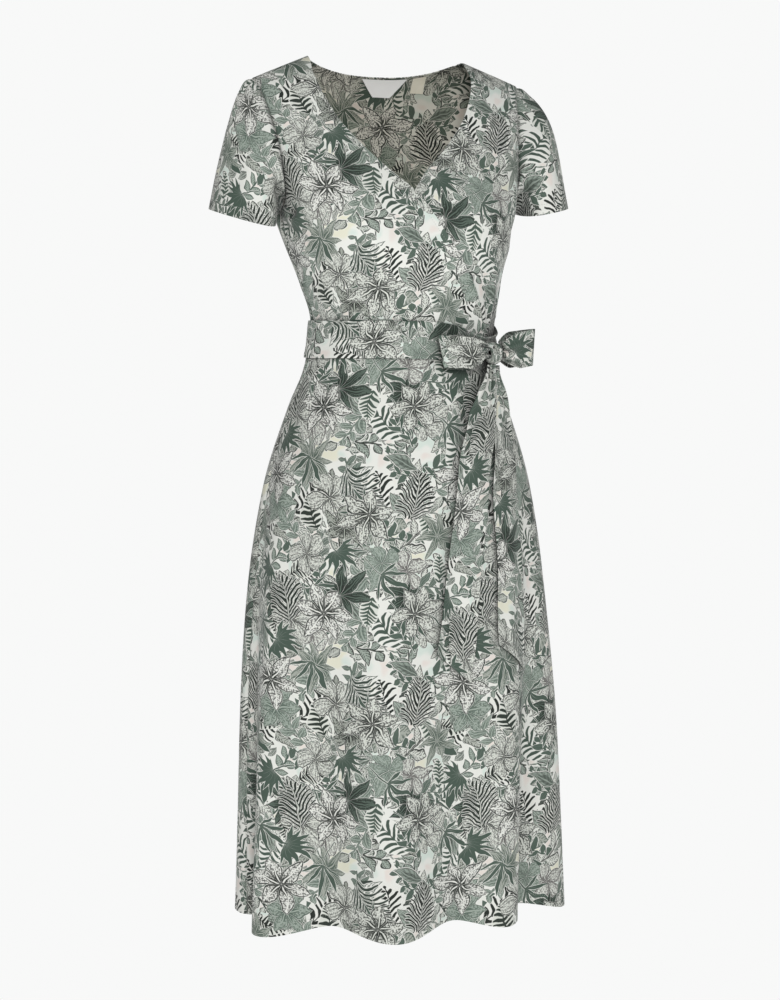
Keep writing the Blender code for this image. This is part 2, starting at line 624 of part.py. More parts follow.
def belt_tail(name, line):
    """A free end of the belt that hangs down the skirt, its end cut on the slant."""
    first, last = line["drop"][0], line["drop"][-1]
    share = np.linspace(0, 1, TAIL_ROWS + 1)
    drop = first + (last - first) * share
    turn = smooth_curve(line["drop"], line["turn"], drop)
    lift = smooth_curve(line["drop"], line["lift"], drop)
    open_ = ease(drop, first - 0.02, first + TAIL_OPENS)
    half = (TAIL_PINCHED + (TAIL_HALF_WIDTH - TAIL_PINCHED) * open_) / metres_per_turn(turn, drop)
    across = np.linspace(-1, 1, TAIL_COLUMNS + 1)[None, :]
    near_end = np.clip(share * 3 - 2, 0, 1)[:, None]
    turns = turn[:, None] + half[:, None] * across
    drops = drop[:, None] + TAIL_SLANT * across * near_end
    middle, out = surface(turns, drops, lift[:, None] + 0 * turns)
    return wall(name, middle, out)


# ---------------------------------------------------------------- labels
def label(name, sizes, panel):
    """A blank label sewn flat on the inside of a panel. Its points are found on the
    panel's own inner skin and moved off it."""
    share = np.linspace(0, 1, LABEL_ROWS + 1)[:, None]
    across = np.linspace(-1, 1, LABEL_COLUMNS + 1)[None, :]
    x = sizes["x"] + (sizes["half_top"] + (sizes["half_bottom"] - sizes["half_top"]) * share) * across
    top = np.maximum(back_neck_drop(x), 0) + LABEL_BELOW_EDGE
    drop = top + (BACK_NECK_DROP + LABEL_BELOW_EDGE - top + sizes["high"]) * share
    turn = 1.0 - turn_at(x, drop)
    place, out = surface(turn, drop)
    inside = place - out * 0.02
    skin = BVHTree.FromObject(panel, bpy.context.evaluated_depsgraph_get())
    middle = np.empty_like(place)
    normals = np.empty_like(place)
    for index in np.ndindex(place.shape[:2]):
        point, normal, _, _ = skin.ray_cast(Vector(inside[index]), Vector(out[index]))
        normals[index] = -normal
        middle[index] = point + normal * (SEAM_GAP + sizes["thick"] / 2)
    return wall(name, middle, normals, thickness=sizes["thick"], colour=LABEL_COLOUR)


def build():
    for old in list(bpy.data.objects):
        bpy.data.objects.remove(old)
    bodice_front("bodice_front_right", RIGHT_EDGE, on_top=True)
    bodice_front("bodice_front_left", LEFT_EDGE, on_top=False)
    back = bodice_back()
    for name, sizes in SLEEVES.items():
        sleeve(name, sizes)
    skirt()
    belt_band()
    bow_knot()
    bow_loop_front()
    bow_loop_side()
    belt_tail("belt_tail_front", FRONT_TAIL)
    belt_tail("belt_tail_side", SIDE_TAIL)
    bpy.context.view_layer.update()
    label("neck_label", LABEL, back)
    label("neck_tab", TAB, back)


build()
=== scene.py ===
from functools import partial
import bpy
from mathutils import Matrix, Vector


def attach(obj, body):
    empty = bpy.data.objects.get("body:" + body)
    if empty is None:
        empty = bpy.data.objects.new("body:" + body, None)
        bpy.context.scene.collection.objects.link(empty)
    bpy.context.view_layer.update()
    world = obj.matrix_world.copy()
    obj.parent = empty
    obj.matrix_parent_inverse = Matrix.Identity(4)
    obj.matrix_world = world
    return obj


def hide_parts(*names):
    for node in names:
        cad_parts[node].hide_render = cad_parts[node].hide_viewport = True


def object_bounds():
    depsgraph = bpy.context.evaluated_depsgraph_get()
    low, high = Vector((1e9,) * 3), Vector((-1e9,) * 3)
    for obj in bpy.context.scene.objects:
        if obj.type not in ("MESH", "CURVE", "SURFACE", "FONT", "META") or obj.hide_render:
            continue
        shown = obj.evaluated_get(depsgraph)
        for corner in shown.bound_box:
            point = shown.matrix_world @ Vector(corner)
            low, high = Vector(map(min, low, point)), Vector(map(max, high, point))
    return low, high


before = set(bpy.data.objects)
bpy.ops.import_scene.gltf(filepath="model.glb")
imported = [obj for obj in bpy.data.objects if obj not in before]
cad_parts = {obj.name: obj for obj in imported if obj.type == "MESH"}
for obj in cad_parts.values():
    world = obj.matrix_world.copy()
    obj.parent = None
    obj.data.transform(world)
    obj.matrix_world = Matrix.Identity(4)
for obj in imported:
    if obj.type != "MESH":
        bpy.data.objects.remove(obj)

# A wrap dress in printed crepe, filled out as worn with nobody in it, and tied in
# a bow at the wearer's left waist. It faces -Y, so the wearer's left is +X.
#
# Every piece of cloth is a thin wall on one shared form, as in the part's source.
# "turn" runs from 0 at the right side seam, through 0.25 at the centre front and
# 0.5 at the left side seam, to 0.75 at the centre back. "drop" is the height below
# the neck points, and "lift" moves a place straight out from the form.

from inspect import signature

import bmesh
import bpy
import numpy as np
from mathutils import Matrix, Vector

cad_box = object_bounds()

# ---------------------------------------------------------------- sizes of the form
CLOTH = 0.0006                # thickness of the crepe
BELT_CLOTH = 0.0009           # the belt is sewn double and pressed
WRAP_LIFT = 0.0030            # how far the top wrap lies outside the under wrap
BELT_LIFT = 0.0026            # how far the belt lies outside what it goes round
BELT_RISES_AHEAD = 0.008      # turns by which it starts to rise before the wrap does
WAIST_DROP = 0.372            # where the bodice is sewn to the skirt
BELT_TOP = 0.342
BELT_BOTTOM = 0.391
BELT_SAG = 0.009              # the knot pulls the belt down by this, over
BELT_SAG_TURNS = 0.09         # this many turns to each side
# How near the knot the belt narrows on the front and on the far side, and to what share.
BELT_GATHERED = {"front": 0.060, "side": 0.105, "left": 0.52}
BELT_PLEATS = {"high": 0.0011, "count": 2.6, "shift": 0.15}
BELT_WAVES = {"high": 0.0006, "across": 1.35, "round": 3.1, "beat": 4.3, "shift": 0.2}
BELT_ROLLED = {"deep": 0.0007, "wide": 0.03}
BELT_DEEPEST = -0.0010        # no pleat sinks further in than this
BELT_FULL = 0.0004            # how far its middle stands out all over
BELT_END = 0.0005             # turns from the knot's middle to each of its ends
HEM_DROP = 1.112
NECK_HALF_WIDTH = 0.105
BACK_NECK_DROP = 0.019
BACK_NECK_ROUND = 2.5         # 2 would be round, and more is flatter at the middle
V_DROP = 0.180                # where the two front edges cross
V_X = 0.000
SHOULDER_FALL_RIGHT = 0.034   # from the neck point to the shoulder's tip
SHOULDER_FALL_LEFT = 0.027
SHOULDER_TIP = 0.184          # how far out the tip lies
SHOULDER_TILT = 0.016         # the left shoulder hangs lower, by this share of the way across
SHOULDER_SLOPES_TO = 1.3      # where that slope ends, in shares of the way out to the tip
SHOULDER_FADE = 1.5           # how soon it is lost further down
SHOULDER_DROP = 1e-6          # the drop of the shoulder's own line, where a root needs some
ARMHOLE_DROP = 0.203
ARMHOLE_FRONT_SCOOP = 0.078   # turns from the side seam that an armhole reaches
ARMHOLE_BACK_SCOOP = 0.074
ARMHOLE_TIP_TURN = 0.040      # turns that its upper end lies further in
LEFT_SIDE_TURN = 0.5

FORM = {
    "drop":    (0.00, 0.010, 0.029, 0.057, 0.095, 0.144, 0.208, 0.244, 0.294,
                0.344, 0.372, 0.404, 0.454, 0.554, 0.684, 0.874, 0.994, 1.160),
    "half":    (0.190, 0.189, 0.186, 0.182, 0.176, 0.168, 0.1575, 0.1475, 0.1335,
                0.123, 0.1235, 0.129, 0.147, 0.178, 0.1985, 0.213, 0.2165, 0.2205),
    "front":   (0.000, 0.028, 0.046, 0.061, 0.078, 0.098, 0.114, 0.115, 0.104,
                0.095, 0.092, 0.096, 0.108, 0.128, 0.142, 0.153, 0.158, 0.164),
    "back":    (0.000, 0.032, 0.054, 0.071, 0.083, 0.089, 0.088, 0.086, 0.084,
                0.086, 0.088, 0.095, 0.112, 0.138, 0.150, 0.158, 0.162, 0.168),
    "move_x":  (0.004, 0.004, 0.004, 0.005, 0.006, 0.007, 0.0085, 0.0105, 0.015,
                0.018, 0.015, 0.0145, 0.012, 0.011, 0.011, 0.013, 0.0145, 0.016),
    "move_y":  (0.000, 0.000, -0.002, -0.004, -0.007, -0.011, -0.016, -0.018, -0.021,
                -0.024, -0.025, -0.025, -0.025, -0.024, -0.023, -0.023, -0.023, -0.023),
    "square":  (0.000, 0.020, 0.050, 0.080, 0.100, 0.100, 0.080, 0.060, 0.030,
                0.010, 0.000, 0.000, 0.000, 0.000, 0.000, 0.000, 0.000, 0.000),
}
BUST = {"across": 0.078, "drop": 0.226, "rise": 0.011, "spread": 0.050}
FRONT_EDGES = {
    "drop":  (0.000, 0.019, 0.038, 0.079, 0.120, 0.154, V_DROP, 0.244, 0.304, WAIST_DROP),
    "right": (-0.105, -0.104, -0.099, -0.083, -0.058, -0.029, V_X, 0.046, 0.084, 0.110),
    "left":  (0.105, 0.104, 0.099, 0.081, 0.052, 0.019, V_X, -0.040, -0.062, -0.075),
}
WRAP_RISE_TURNS = (0.070, 0.120)
WRAP_RISE_DROPS = (0.110, 0.165)
BELT_FALL_TURNS = (0.430, 0.470)
SKIRT_EDGE_DROPS = (WAIST_DROP, 0.560, 0.880, 1.160)
TOP_SKIRT_EDGE = (0.412, 0.366, 0.342, 0.329)
UNDER_SKIRT_EDGE = (0.150, 0.150, 0.140, 0.130)

# The skirt's folds: turn at the hem and at the waist, how far each stands out at
# the hem (negative for a trough), its half width in turns, and where it starts.
FOLDS = (
    (-0.040, -0.020, 0.006, 0.030, 0.50),
    (0.018, 0.010, -0.020, 0.020, 0.46),
    (0.068, 0.050, 0.018, 0.036, 0.44),
    (0.145, 0.135, -0.018, 0.036, 0.52),
    (0.206, 0.200, 0.022, 0.036, 0.46),
    (0.268, 0.275, -0.020, 0.034, 0.54),
    (0.316, 0.350, 0.012, 0.026, 0.44),
    (0.360, 0.400, -0.022, 0.026, 0.50),
    (0.425, 0.440, 0.010, 0.034, 0.46),
    (0.490, 0.490, -0.014, 0.028, 0.50),
    (0.555, 0.545, 0.018, 0.036, 0.46),
    (0.635, 0.620, -0.018, 0.038, 0.52),
    (0.705, 0.690, 0.018, 0.036, 0.46),
    (0.780, 0.770, -0.018, 0.036, 0.54),
    (0.850, 0.850, 0.020, 0.036, 0.46),
    (0.915, 0.925, -0.012, 0.030, 0.50),
)
FOLD_GROWTH = 1.15
FOLD_NARROW = 0.75
FOLD_SHARPNESS = 1.4
FOLD_GROWS_TO = 1.1           # shares of the way to the hem's usual place
HEM_WAVE = {
    "turn":  (0.000, 0.018, 0.034, 0.068, 0.145, 0.206, 0.268, 0.316, 0.333, 0.360,
              0.425, 0.500, 0.600, 0.700, 0.800, 0.900, 1.000),
    "extra": (0.006, 0.005, 0.013, 0.014, -0.002, 0.010, -0.004, 0.006, 0.003, -0.006,
              0.009, 0.005, 0.004, -0.002, 0.003, 0.005, 0.006),
}

# Creases pressed or pulled into the body of the dress, the same on every layer: the turn
# and drop that each runs from, those that it runs to, how far it stands out in metres
# (negative for a trough) and how wide it is.
CREASES = (
    # drag lines from the tie up to the bust, and from the right side of the waist
    (0.385, 0.352, 0.300, 0.285, 0.0022, 0.0075),
    (0.392, 0.350, 0.330, 0.262, -0.0020, 0.0065),
    (0.400, 0.346, 0.372, 0.250, 0.0020, 0.0070),
    (0.425, 0.346, 0.420, 0.262, -0.0018, 0.0060),
    (0.450, 0.344, 0.452, 0.282, 0.0016, 0.0060),
    (0.340, 0.346, 0.250, 0.312, -0.0014, 0.0060),
    (0.050, 0.346, 0.085, 0.268, 0.0020, 0.0070),
    (0.080, 0.348, 0.128, 0.286, -0.0018, 0.0060),
    (0.120, 0.348, 0.160, 0.305, 0.0013, 0.0055),
    (0.205, 0.348, 0.212, 0.316, 0.0011, 0.0050),
    (0.245, 0.348, 0.238, 0.322, -0.0011, 0.0045),
    # from under the arms towards the bust
    (0.044, 0.209, 0.080, 0.196, -0.0085, 0.0036),
    (0.014, 0.212, 0.092, 0.240, -0.0055, 0.0065),
    (0.022, 0.232, 0.080, 0.262, 0.0018, 0.0065),
    (0.470, 0.214, 0.408, 0.236, -0.0020, 0.0070),
    (0.478, 0.236, 0.424, 0.268, 0.0016, 0.0065),
    # short tucks below the belt
    (0.060, 0.396, 0.054, 0.470, 0.0022, 0.0065),
    (0.098, 0.396, 0.104, 0.452, -0.0018, 0.0060),
    (0.150, 0.396, 0.146, 0.440, 0.0013, 0.0050),
    (0.232, 0.396, 0.230, 0.452, -0.0014, 0.0055),
    (0.282, 0.396, 0.276, 0.476, 0.0018, 0.0060),
    (0.322, 0.398, 0.306, 0.520, -0.0024, 0.0070),
    (0.352, 0.400, 0.330, 0.560, 0.0028, 0.0075),
    (0.404, 0.400, 0.398, 0.560, -0.0026, 0.0075),
    (0.430, 0.398, 0.436, 0.500, 0.0020, 0.0070),
    (0.462, 0.398, 0.470, 0.468, -0.0016, 0.0060),
    # the same round the back
    (0.545, 0.348, 0.560, 0.280, 0.0018, 0.0065),
    (0.580, 0.348, 0.604, 0.296, -0.0016, 0.0060),
    (0.650, 0.348, 0.656, 0.306, 0.0014, 0.0055),
    (0.712, 0.348, 0.706, 0.300, -0.0015, 0.0060),
    (0.782, 0.348, 0.788, 0.312, 0.0013, 0.0050),
    (0.846, 0.348, 0.838, 0.290, -0.0016, 0.0060),
    (0.910, 0.348, 0.900, 0.278, 0.0018, 0.0065),
    (0.560, 0.222, 0.612, 0.244, -0.0018, 0.0070),
    (0.945, 0.220, 0.890, 0.246, -0.0018, 0.0070),
    (0.565, 0.396, 0.560, 0.470, 0.0020, 0.0065),
    (0.622, 0.396, 0.628, 0.446, -0.0015, 0.0055),
    (0.688, 0.396, 0.684, 0.482, 0.0018, 0.0060),
    (0.748, 0.396, 0.752, 0.440, -0.0013, 0.0050),
    (0.812, 0.396, 0.818, 0.474, 0.0018, 0.0065),
    (0.876, 0.396, 0.870, 0.452, -0.0016, 0.0055),
    (0.934, 0.396, 0.940, 0.484, 0.0019, 0.0065),
    # long soft folds of the skirt, from the hem up, deepest below
    (0.062, 1.140, 0.058, 0.470, 0.0045, 0.0100),
    (0.030, 1.140, 0.034, 0.500, -0.0085, 0.0130),
    (0.112, 1.140, 0.120, 0.640, -0.0030, 0.0160),
    (0.176, 1.140, 0.170, 0.700, 0.0026, 0.0150),
    (0.240, 1.140, 0.236, 0.560, -0.0030, 0.0170),
    (0.296, 1.140, 0.306, 0.780, 0.0024, 0.0130),
    (0.352, 1.140, 0.372, 0.720, -0.0060, 0.0130),
    (0.396, 1.140, 0.410, 0.600, 0.0030, 0.0130),
    (0.452, 1.140, 0.455, 0.560, -0.0034, 0.0140),
    (0.520, 1.140, 0.520, 0.680, 0.0028, 0.0140),
    (0.598, 1.140, 0.592, 0.560, -0.0032, 0.0160),
    (0.668, 1.140, 0.664, 0.740, 0.0026, 0.0140),
    (0.742, 1.140, 0.738, 0.620, 0.0030, 0.0160),
    (0.816, 1.140, 0.824, 0.700, -0.0028, 0.0150),
    (0.884, 1.140, 0.880, 0.560, 0.0028, 0.0150),
    (0.948, 1.140, 0.956, 0.660, -0.0030, 0.0140),
)
CREASE_MEASURE = (0.80, 1.0)  # metres of cloth per turn and per drop
CREASE_BOWED = {"share": 0.10, "most": 0.006}
CREASE_WIDENS = 0.7
# Shares of its run between which a crease rises, and between which it runs out.
CREASE_RISES = (-0.12, 0.18)
CREASE_RUNS_OUT = (0.45, 1.05)
UNDER_BELT = (0.337, 0.347, 0.391, 0.401)    # drops between which the belt presses creases flat
SEAM = {"deep": 0.0016, "wide": 0.0020}      # how cloth sinks in beside a seam

SLEEVES = {
    "sleeve_right": {
        "side": -1, "cuff_x": 0.1955, "cuff_y": -0.012, "cuff_z": -0.2115,
        "half_thick": 0.0355, "half_deep": 0.059, "tilt": 12.5, "head": 0.036,
        "lower_in_front": 0.0085, "cut_at": (0.058, 0.149),
    },
    "sleeve_left": {
        "side": 1, "cuff_x": 0.2185, "cuff_y": -0.012, "cuff_z": -0.199,
        "half_thick": 0.036, "half_deep": 0.059, "tilt": 12.0, "head": 0.064,
        "lower_in_front": 0.001, "cut_at": (0.187, 0.022),
    },
}
CUFF_TURNED = 20.0
SLEEVE_WAY = {"out": 0.85, "ahead": 0.35, "down": 0.34, "under": 0.30}
UNDERARM_HEAD = 0.006
UNDERARM_DRAWN = {"deep": 0.0115, "wide": 0.0085, "high": 0.022}
CUFF_STRAIGHT = {"mean": 0.036, "more_outside": 0.030}
CUFF_RAISED = 0.0065          # how much shorter a sleeve is under the arm
# Creases of a sleeve, listed as above, but each end is placed by the part of the way
# round from the underarm and the share of the sleeve's length.
SLEEVE_CREASES = (
    (0.06, 0.06, 0.22, 0.55, -0.0060, 0.0075),
    (0.12, 0.05, 0.30, 0.34, 0.0036, 0.0080),
    (0.94, 0.06, 0.80, 0.60, -0.0060, 0.0075),
    (0.88, 0.05, 0.70, 0.36, 0.0036, 0.0080),
    (0.40, 0.30, 0.36, 0.95, 0.0014, 0.0110),
    (0.55, 0.45, 0.58, 1.00, -0.0016, 0.0120),
    (0.66, 0.30, 0.68, 0.90, 0.0012, 0.0100),
)
SLEEVE_MEASURE = (0.33, 0.17)  # metres round it and along it
# How the head of a sleeve stands up past its seam, rising and then falling over these.
SLEEVE_HEAD = {"high": 0.0018, "rises": (0.0, 0.005), "falls": (0.006, 0.022)}

KNOT = {"turn": 0.381, "drop": 0.387, "half_along": 0.0124, "half_high": 0.0134, "half_deep": 0.0085}
KNOT_BASE = 0.0015            # from the belt's middle to the knot's back
KNOT_AHEAD = 0.004            # turns to the place that gives the belt's way there
# The knot across, in shares of its half length: how far its cloth runs, where it is
# rounded off and how bluntly, and where its edges start to tuck in.
KNOT_FORM = {"runs_to": 1.45, "rounded_at": 1.12, "blunt": 2.2, "tucks_from": 0.92}
KNOT_SIZE = {"least": 0.45, "flat": 0.30, "tucked_down": 0.35, "tucked_back": 0.25}
KNOT_LEAN = {"share": 0.16, "from": 0.5}
KNOT_PLEATS = {"high": 0.055, "count": 2.2, "wander": 0.25, "shift": 0.1, "uneven": 0.02}
# Two rows of waves make the pleats of gathered cloth: height, count, turns for each
# step of the seed, and shift.
GATHERS = ((0.62, 1.30, 0.13, 0.0), (0.38, 2.35, 0.31, 0.1))
LOOP_PLEATS = {"high": 0.0032, "to": 0.048}
LOOP_CLEAR = 0.0015           # between the belt's outside and the front loop's inner side
LOOP_HALF_WIDTH = 0.0235
LOOP_END_SPACE = 0.0026
FRONT_LOOP = {
    "length": 0.064, "open": 0.0065, "from_knot": 0.0045, "raised": 0.003, "rise": 0.02,
    "clear": 0.004, "pinched": 0.0085, "opens": -0.15, "opened": 0.52, "slant": -0.0040,
}
SIDE_LOOP = {
    "length": 0.0548, "open": 0.0080, "from_knot": 0.0028, "away": (0.93, 0.35, 0.11),
    "pinched": 0.0110, "opens": -0.20, "opened": 0.44, "slant": 0.0044,
}
TAIL_HALF_WIDTH = 0.0245
TAIL_PINCHED = 0.0085
TAIL_OPENS = (-0.020, 0.085)  # lengths past the knot over which a tail opens out
TAIL_PLEATS = {"high": 0.0030, "run": 0.070}
TAIL_FOLD = {"high": 0.00096, "sway": 0.25, "turns": 9, "over": (0.03, 0.16)}
# How the edge towards the front curls away from the skirt.
TAIL_CURL = {"high": 0.0032, "wide": 0.28, "over": (0.02, 0.08)}
FRONT_TAIL = {
    "drop": (0.402, 0.430, 0.470, 0.520, 0.580, 0.660, 0.740, 0.782),
    "turn": (0.3720, 0.358, 0.333, 0.310, 0.2985, 0.2845, 0.276, 0.270),
    "lift": (0.0140, 0.0120, 0.0100, 0.0080, 0.0068, 0.0064, 0.0062, 0.0062),
}
SIDE_TAIL = {
    "drop": (0.402, 0.430, 0.470, 0.520, 0.580, 0.660, 0.740, 0.775),
    "turn": (0.3920, 0.392, 0.380, 0.364, 0.350, 0.346, 0.340, 0.339),
    "lift": (0.0108, 0.0088, 0.0072, 0.0064, 0.0062, 0.0062, 0.0062, 0.0062),
}
TAIL_SLANT = 0.020
LABEL = {"half_top": 0.031, "half_bottom": 0.012, "high": 0.022, "x": 0.015}
TAB = {"half_top": 0.0085, "half_bottom": 0.0085, "high": 0.015, "x": 0.062}
LABEL_BELOW_EDGE = 0.002
LABEL_CLOTH = 0.0004
LABEL_LIFT = -0.0014          # the labels lie inside the back
LABEL_STITCHED_IN = 0.0012

STITCH = {"long": 0.0023, "thick": 0.0004, "dip": 0.0003, "sunk": 0.0001, "pitch": 0.0032}
EDGE_TURNED = 0.0085          # how deep a free edge is turned under
HEM_TURNED = 0.0150           # how deep the hem and the cuffs are
STITCHED_IN = 0.0014          # how far inside the fold's own edge the stitches run
# A turned edge is thicker up to its fold's own edge, and its stitches lie in a groove.
FOLDED = {"thick": 0.0005, "before": 0.0006, "after": 0.0008}
GROOVE = {"deep": 0.00022, "wide": 0.0007}
GRAIN_LINES = 201             # lines each way that the print's place is measured on
SHARP_FROM = 55.0             # degrees between faces from which an edge shows as one

# Each piece as it is cut, without its turnings: widest, longest and area.
CUT = {
    "bodice_front_right": (0.278, 0.494, 0.0710),
    "bodice_front_left": (0.270, 0.476, 0.0749),
    "bodice_back": (0.417, 0.408, 0.1376),
    "sleeve_right": (0.422, 0.184, 0.0321),
    "sleeve_left": (0.423, 0.184, 0.0346),
    "skirt_front_right": (0.487, 0.768, 0.3060),
    "skirt_front_left": (0.520, 0.760, 0.3030),
    "skirt_back": (0.665, 0.758, 0.4130),
    "belt_band": (0.712, 0.050, 0.0318),
    "bow_knot": (0.068, 0.041, 0.0020),
    "bow_loop_front": (0.047, 0.162, 0.0060),
    "bow_loop_side": (0.048, 0.134, 0.0057),
    "belt_tail_front": (0.063, 0.416, 0.0195),
    "belt_tail_side": (0.069, 0.402, 0.0192),
    "neck_label": (0.062, 0.035, 0.0012),
    "neck_tab": (0.018, 0.028, 0.0005),
}

# Lines in each piece's grid, and in the rough grids that only measure lengths.
LINES = {
    "below_underarm": 56, "above_underarm": 73, "front": 92, "beside_neck": 24, "back_neck": 71,
    "sleeve_round": 156, "sleeve_down": 48, "skirt_down": 170, "skirt_front": 100, "skirt_back": 140,
    "belt_round": 381, "belt_across": 29, "knot_round": 96, "knot_across": 47, "loop_along": 89,
    "loop_across": 33, "tail_along": 191, "tail_across": 31, "label_down": 19, "label_across": 37,
}
ROUGH_LINES = {"front": 21, "beside_neck": 9, "skirt": 41, "sleeve": 161}
CLOSER_UP = 1.15              # how the rows draw together from the waist up to the underarm

# Places of the close lines of a grid beside an edge, in metres from it.
SEAM_STRIP = (0.0, 0.0006, 0.0012, 0.0020, 0.0032)
HEM_STRIP = (0.0, 0.0006, 0.0016, 0.0030, 0.0045, 0.0060, 0.0072, 0.0082, 0.0092, 0.0104)
WIDE_HEM_STRIP = (
    0.0, 0.0006, 0.0020, 0.0040, 0.0060, 0.0080, 0.0100, 0.0120, 0.0136, 0.0148, 0.0160, 0.0172, 0.0188,
)


# ---------------------------------------------------------------- the form
def smooth_curve(places, values, at):
    """Value at these places on a smooth curve through the points, with no overshoot."""
    places = np.asarray(places, float)
    values = np.asarray(values, float)
    slopes = np.diff(values) / np.diff(places)
    before, after = slopes[:-1], slopes[1:]
    same_way = before * after > 0
    total = np.where(same_way, before + after, 1.0)
    inner = np.where(same_way, 2 * before * after / total, 0.0)
    tangents = np.concatenate([slopes[:1], inner, slopes[-1:]])
    at = np.clip(at, places[0], places[-1])
    index = np.clip(np.searchsorted(places, at) - 1, 0, len(places) - 2)
    step = places[index + 1] - places[index]
    t = (at - places[index]) / step
    return (
        values[index] * (1 + 2 * t) * (1 - t) ** 2
        + values[index + 1] * t * t * (3 - 2 * t)
        + step * t * (1 - t) * (tangents[index] * (1 - t) - tangents[index + 1] * t)
    )


def read(table, column, drop):
    """A column of a table at these drops, on a curve that runs in the root of the drop."""
    return smooth_curve(np.sqrt(table["drop"]), table[column], np.sqrt(drop))


def ease(value, start, end):
    """0 before start, 1 after end, and smooth between them."""
    t = np.clip((value - start) / (end - start), 0, 1)
    return t * t * (3 - 2 * t)


def turns_from(turn, middle):
    """Turns from one line to these places, the short way round."""
    return (turn - middle + 0.5) % 1.0 - 0.5


def hump(distance, wide):
    """1 at a line and nearly 0 beyond its width."""
    return np.exp(-((distance / wide) ** 2))


def fold_offset(turn, drop):
    """How far the skirt's folds stand out."""
    depth = 0.0
    for hem, waist, out, width, start in FOLDS:
        down = np.clip((drop - start) / (HEM_DROP - start), 0, FOLD_GROWS_TO)
        away = turns_from(turn, waist + (hem - waist) * down)
        width = width * (FOLD_NARROW + (1 - FOLD_NARROW) * down)
        depth = depth + out * down ** FOLD_GROWTH * np.exp(-((away / width) ** 2) * FOLD_SHARPNESS)
    return depth


def crease(across, along, line, measure):
    """How far one crease stands out at these places. It is soft at its sides, runs out
    at both ends and is deepest near the end that it starts from. measure turns the
    two coordinates into metres."""
    start, end = np.array(line[:2]) * measure, np.array(line[2:4]) * measure
    stands_out, wide = line[4:]
    way = end - start
    length = np.hypot(*way)
    way = way / length
    here = np.stack([across * measure[0] - start[0], along * measure[1] - start[1]], axis=-1)
    run = here @ way / length
    away = here @ np.array([-way[1], way[0]])
    within = np.clip(run, 0, 1)
    bowed = min(CREASE_BOWED["share"] * length, CREASE_BOWED["most"]) * np.sin(np.pi * within)
    fade = ease(run, *CREASE_RISES) * (1 - ease(run, *CREASE_RUNS_OUT))
    return stands_out * fade * hump(away - bowed, wide * (1 + CREASE_WIDENS * within))


def crease_offset(turn, drop):
    """How far the creases of the body stand out, pressed flat under the belt."""
    depth = 0.0
    for line in CREASES:
        depth = depth + crease(line[0] + turns_from(turn, line[0]), drop, line, CREASE_MEASURE)
    top, in_, out, bottom = UNDER_BELT
    return depth * (1 - ease(drop, top, in_) * (1 - ease(drop, out, bottom)))


def form(turn, root):
    """Points of the bare form. root is the square root of the drop."""
    drop = root ** 2
    angle = 2 * np.pi * turn
    fuller = 1 + read(FORM, "square", drop) * np.sin(2 * angle) ** 2
    half = read(FORM, "half", drop) * fuller
    depth = np.where(np.sin(angle) > 0, read(FORM, "front", drop), read(FORM, "back", drop)) * fuller
    x = -half * np.cos(angle)
    y = -depth * np.sin(angle)
    out_x = -np.cos(angle) * depth
    out_y = -np.sin(angle) * half
    length = np.hypot(out_x, out_y) + 1e-9
    stand = fold_offset(turn, drop) + crease_offset(turn, drop)
    stand_x = stand * out_x / length
    stand_y = stand * out_y / length
    for side in (-1, 1):
        apart = ((x - side * BUST["across"]) ** 2 + (drop - BUST["drop"]) ** 2) / BUST["spread"] ** 2
        y = y - BUST["rise"] * np.exp(-apart) * ease(np.sin(angle), 0.0, 0.5)
    fall = np.where(x < 0, SHOULDER_FALL_RIGHT, SHOULDER_FALL_LEFT)
    past_neck = (np.abs(x) - NECK_HALF_WIDTH) / (SHOULDER_TIP - NECK_HALF_WIDTH)
    slope = fall * np.clip(past_neck, 0, SHOULDER_SLOPES_TO) + SHOULDER_TILT * (x + NECK_HALF_WIDTH)
    fade = np.clip(1 - drop / ARMHOLE_DROP, 0, 1) ** SHOULDER_FADE
    return np.stack([
        x + stand_x + read(FORM, "move_x", drop),
        y + stand_y + read(FORM, "move_y", drop),
        -drop - slope * fade,
    ], axis=-1)


def surface(turn, drop, lift=0.0):
    """(points, outward directions) on the form, moved out by lift."""
    turn, drop, lift = np.broadcast_arrays(
        np.asarray(turn, float), np.asarray(drop, float), np.asarray(lift, float)
    )
    root = np.sqrt(drop)
    step = 2e-4
    along = form(turn + step, root) - form(turn - step, root)
    down = form(turn, root + step) - form(turn, np.maximum(root - step, 0))
    out = np.cross(down, along)
    out = out / np.linalg.norm(out, axis=-1, keepdims=True)
    return form(turn, root) + out * lift[..., None], out


def wrap_lift(turn, drop):
    """Lift of the top wrap: none at its side seam and shoulder, full over the under wrap."""
    return WRAP_LIFT * ease(turn, *WRAP_RISE_TURNS) * ease(drop, *WRAP_RISE_DROPS)


def belt_lift(turn):
    """Lift of the belt's middle, over the top wrap in front and on the back elsewhere."""
    over_wrap = ease(turn + BELT_RISES_AHEAD, *WRAP_RISE_TURNS) * (1 - ease(turn, *BELT_FALL_TURNS))
    return BELT_LIFT + WRAP_LIFT * over_wrap


def metres_per_turn(turn, drop):
    """Length of cloth per turn round the form at a place."""
    step = 1e-3
    there = form(np.asarray(turn + step, float), np.sqrt(drop))
    back = form(np.asarray(turn - step, float), np.sqrt(drop))
    return np.linalg.norm(there - back, axis=-1) / (2 * step)


# ---------------------------------------------------------------- grids of cloth
def steps(points, axis):
    """Length along a grid's lines up to each point, from its first row or column."""
    each = np.linalg.norm(np.diff(points, axis=axis), axis=-1)
    return np.concatenate([0 * each.take([0], axis), np.cumsum(each, axis)], axis)


def steps_back(points, axis):
    """Length along a grid's lines from each point to its last row or column."""
    gone = steps(points, axis)
    return gone.take([-1], axis) - gone


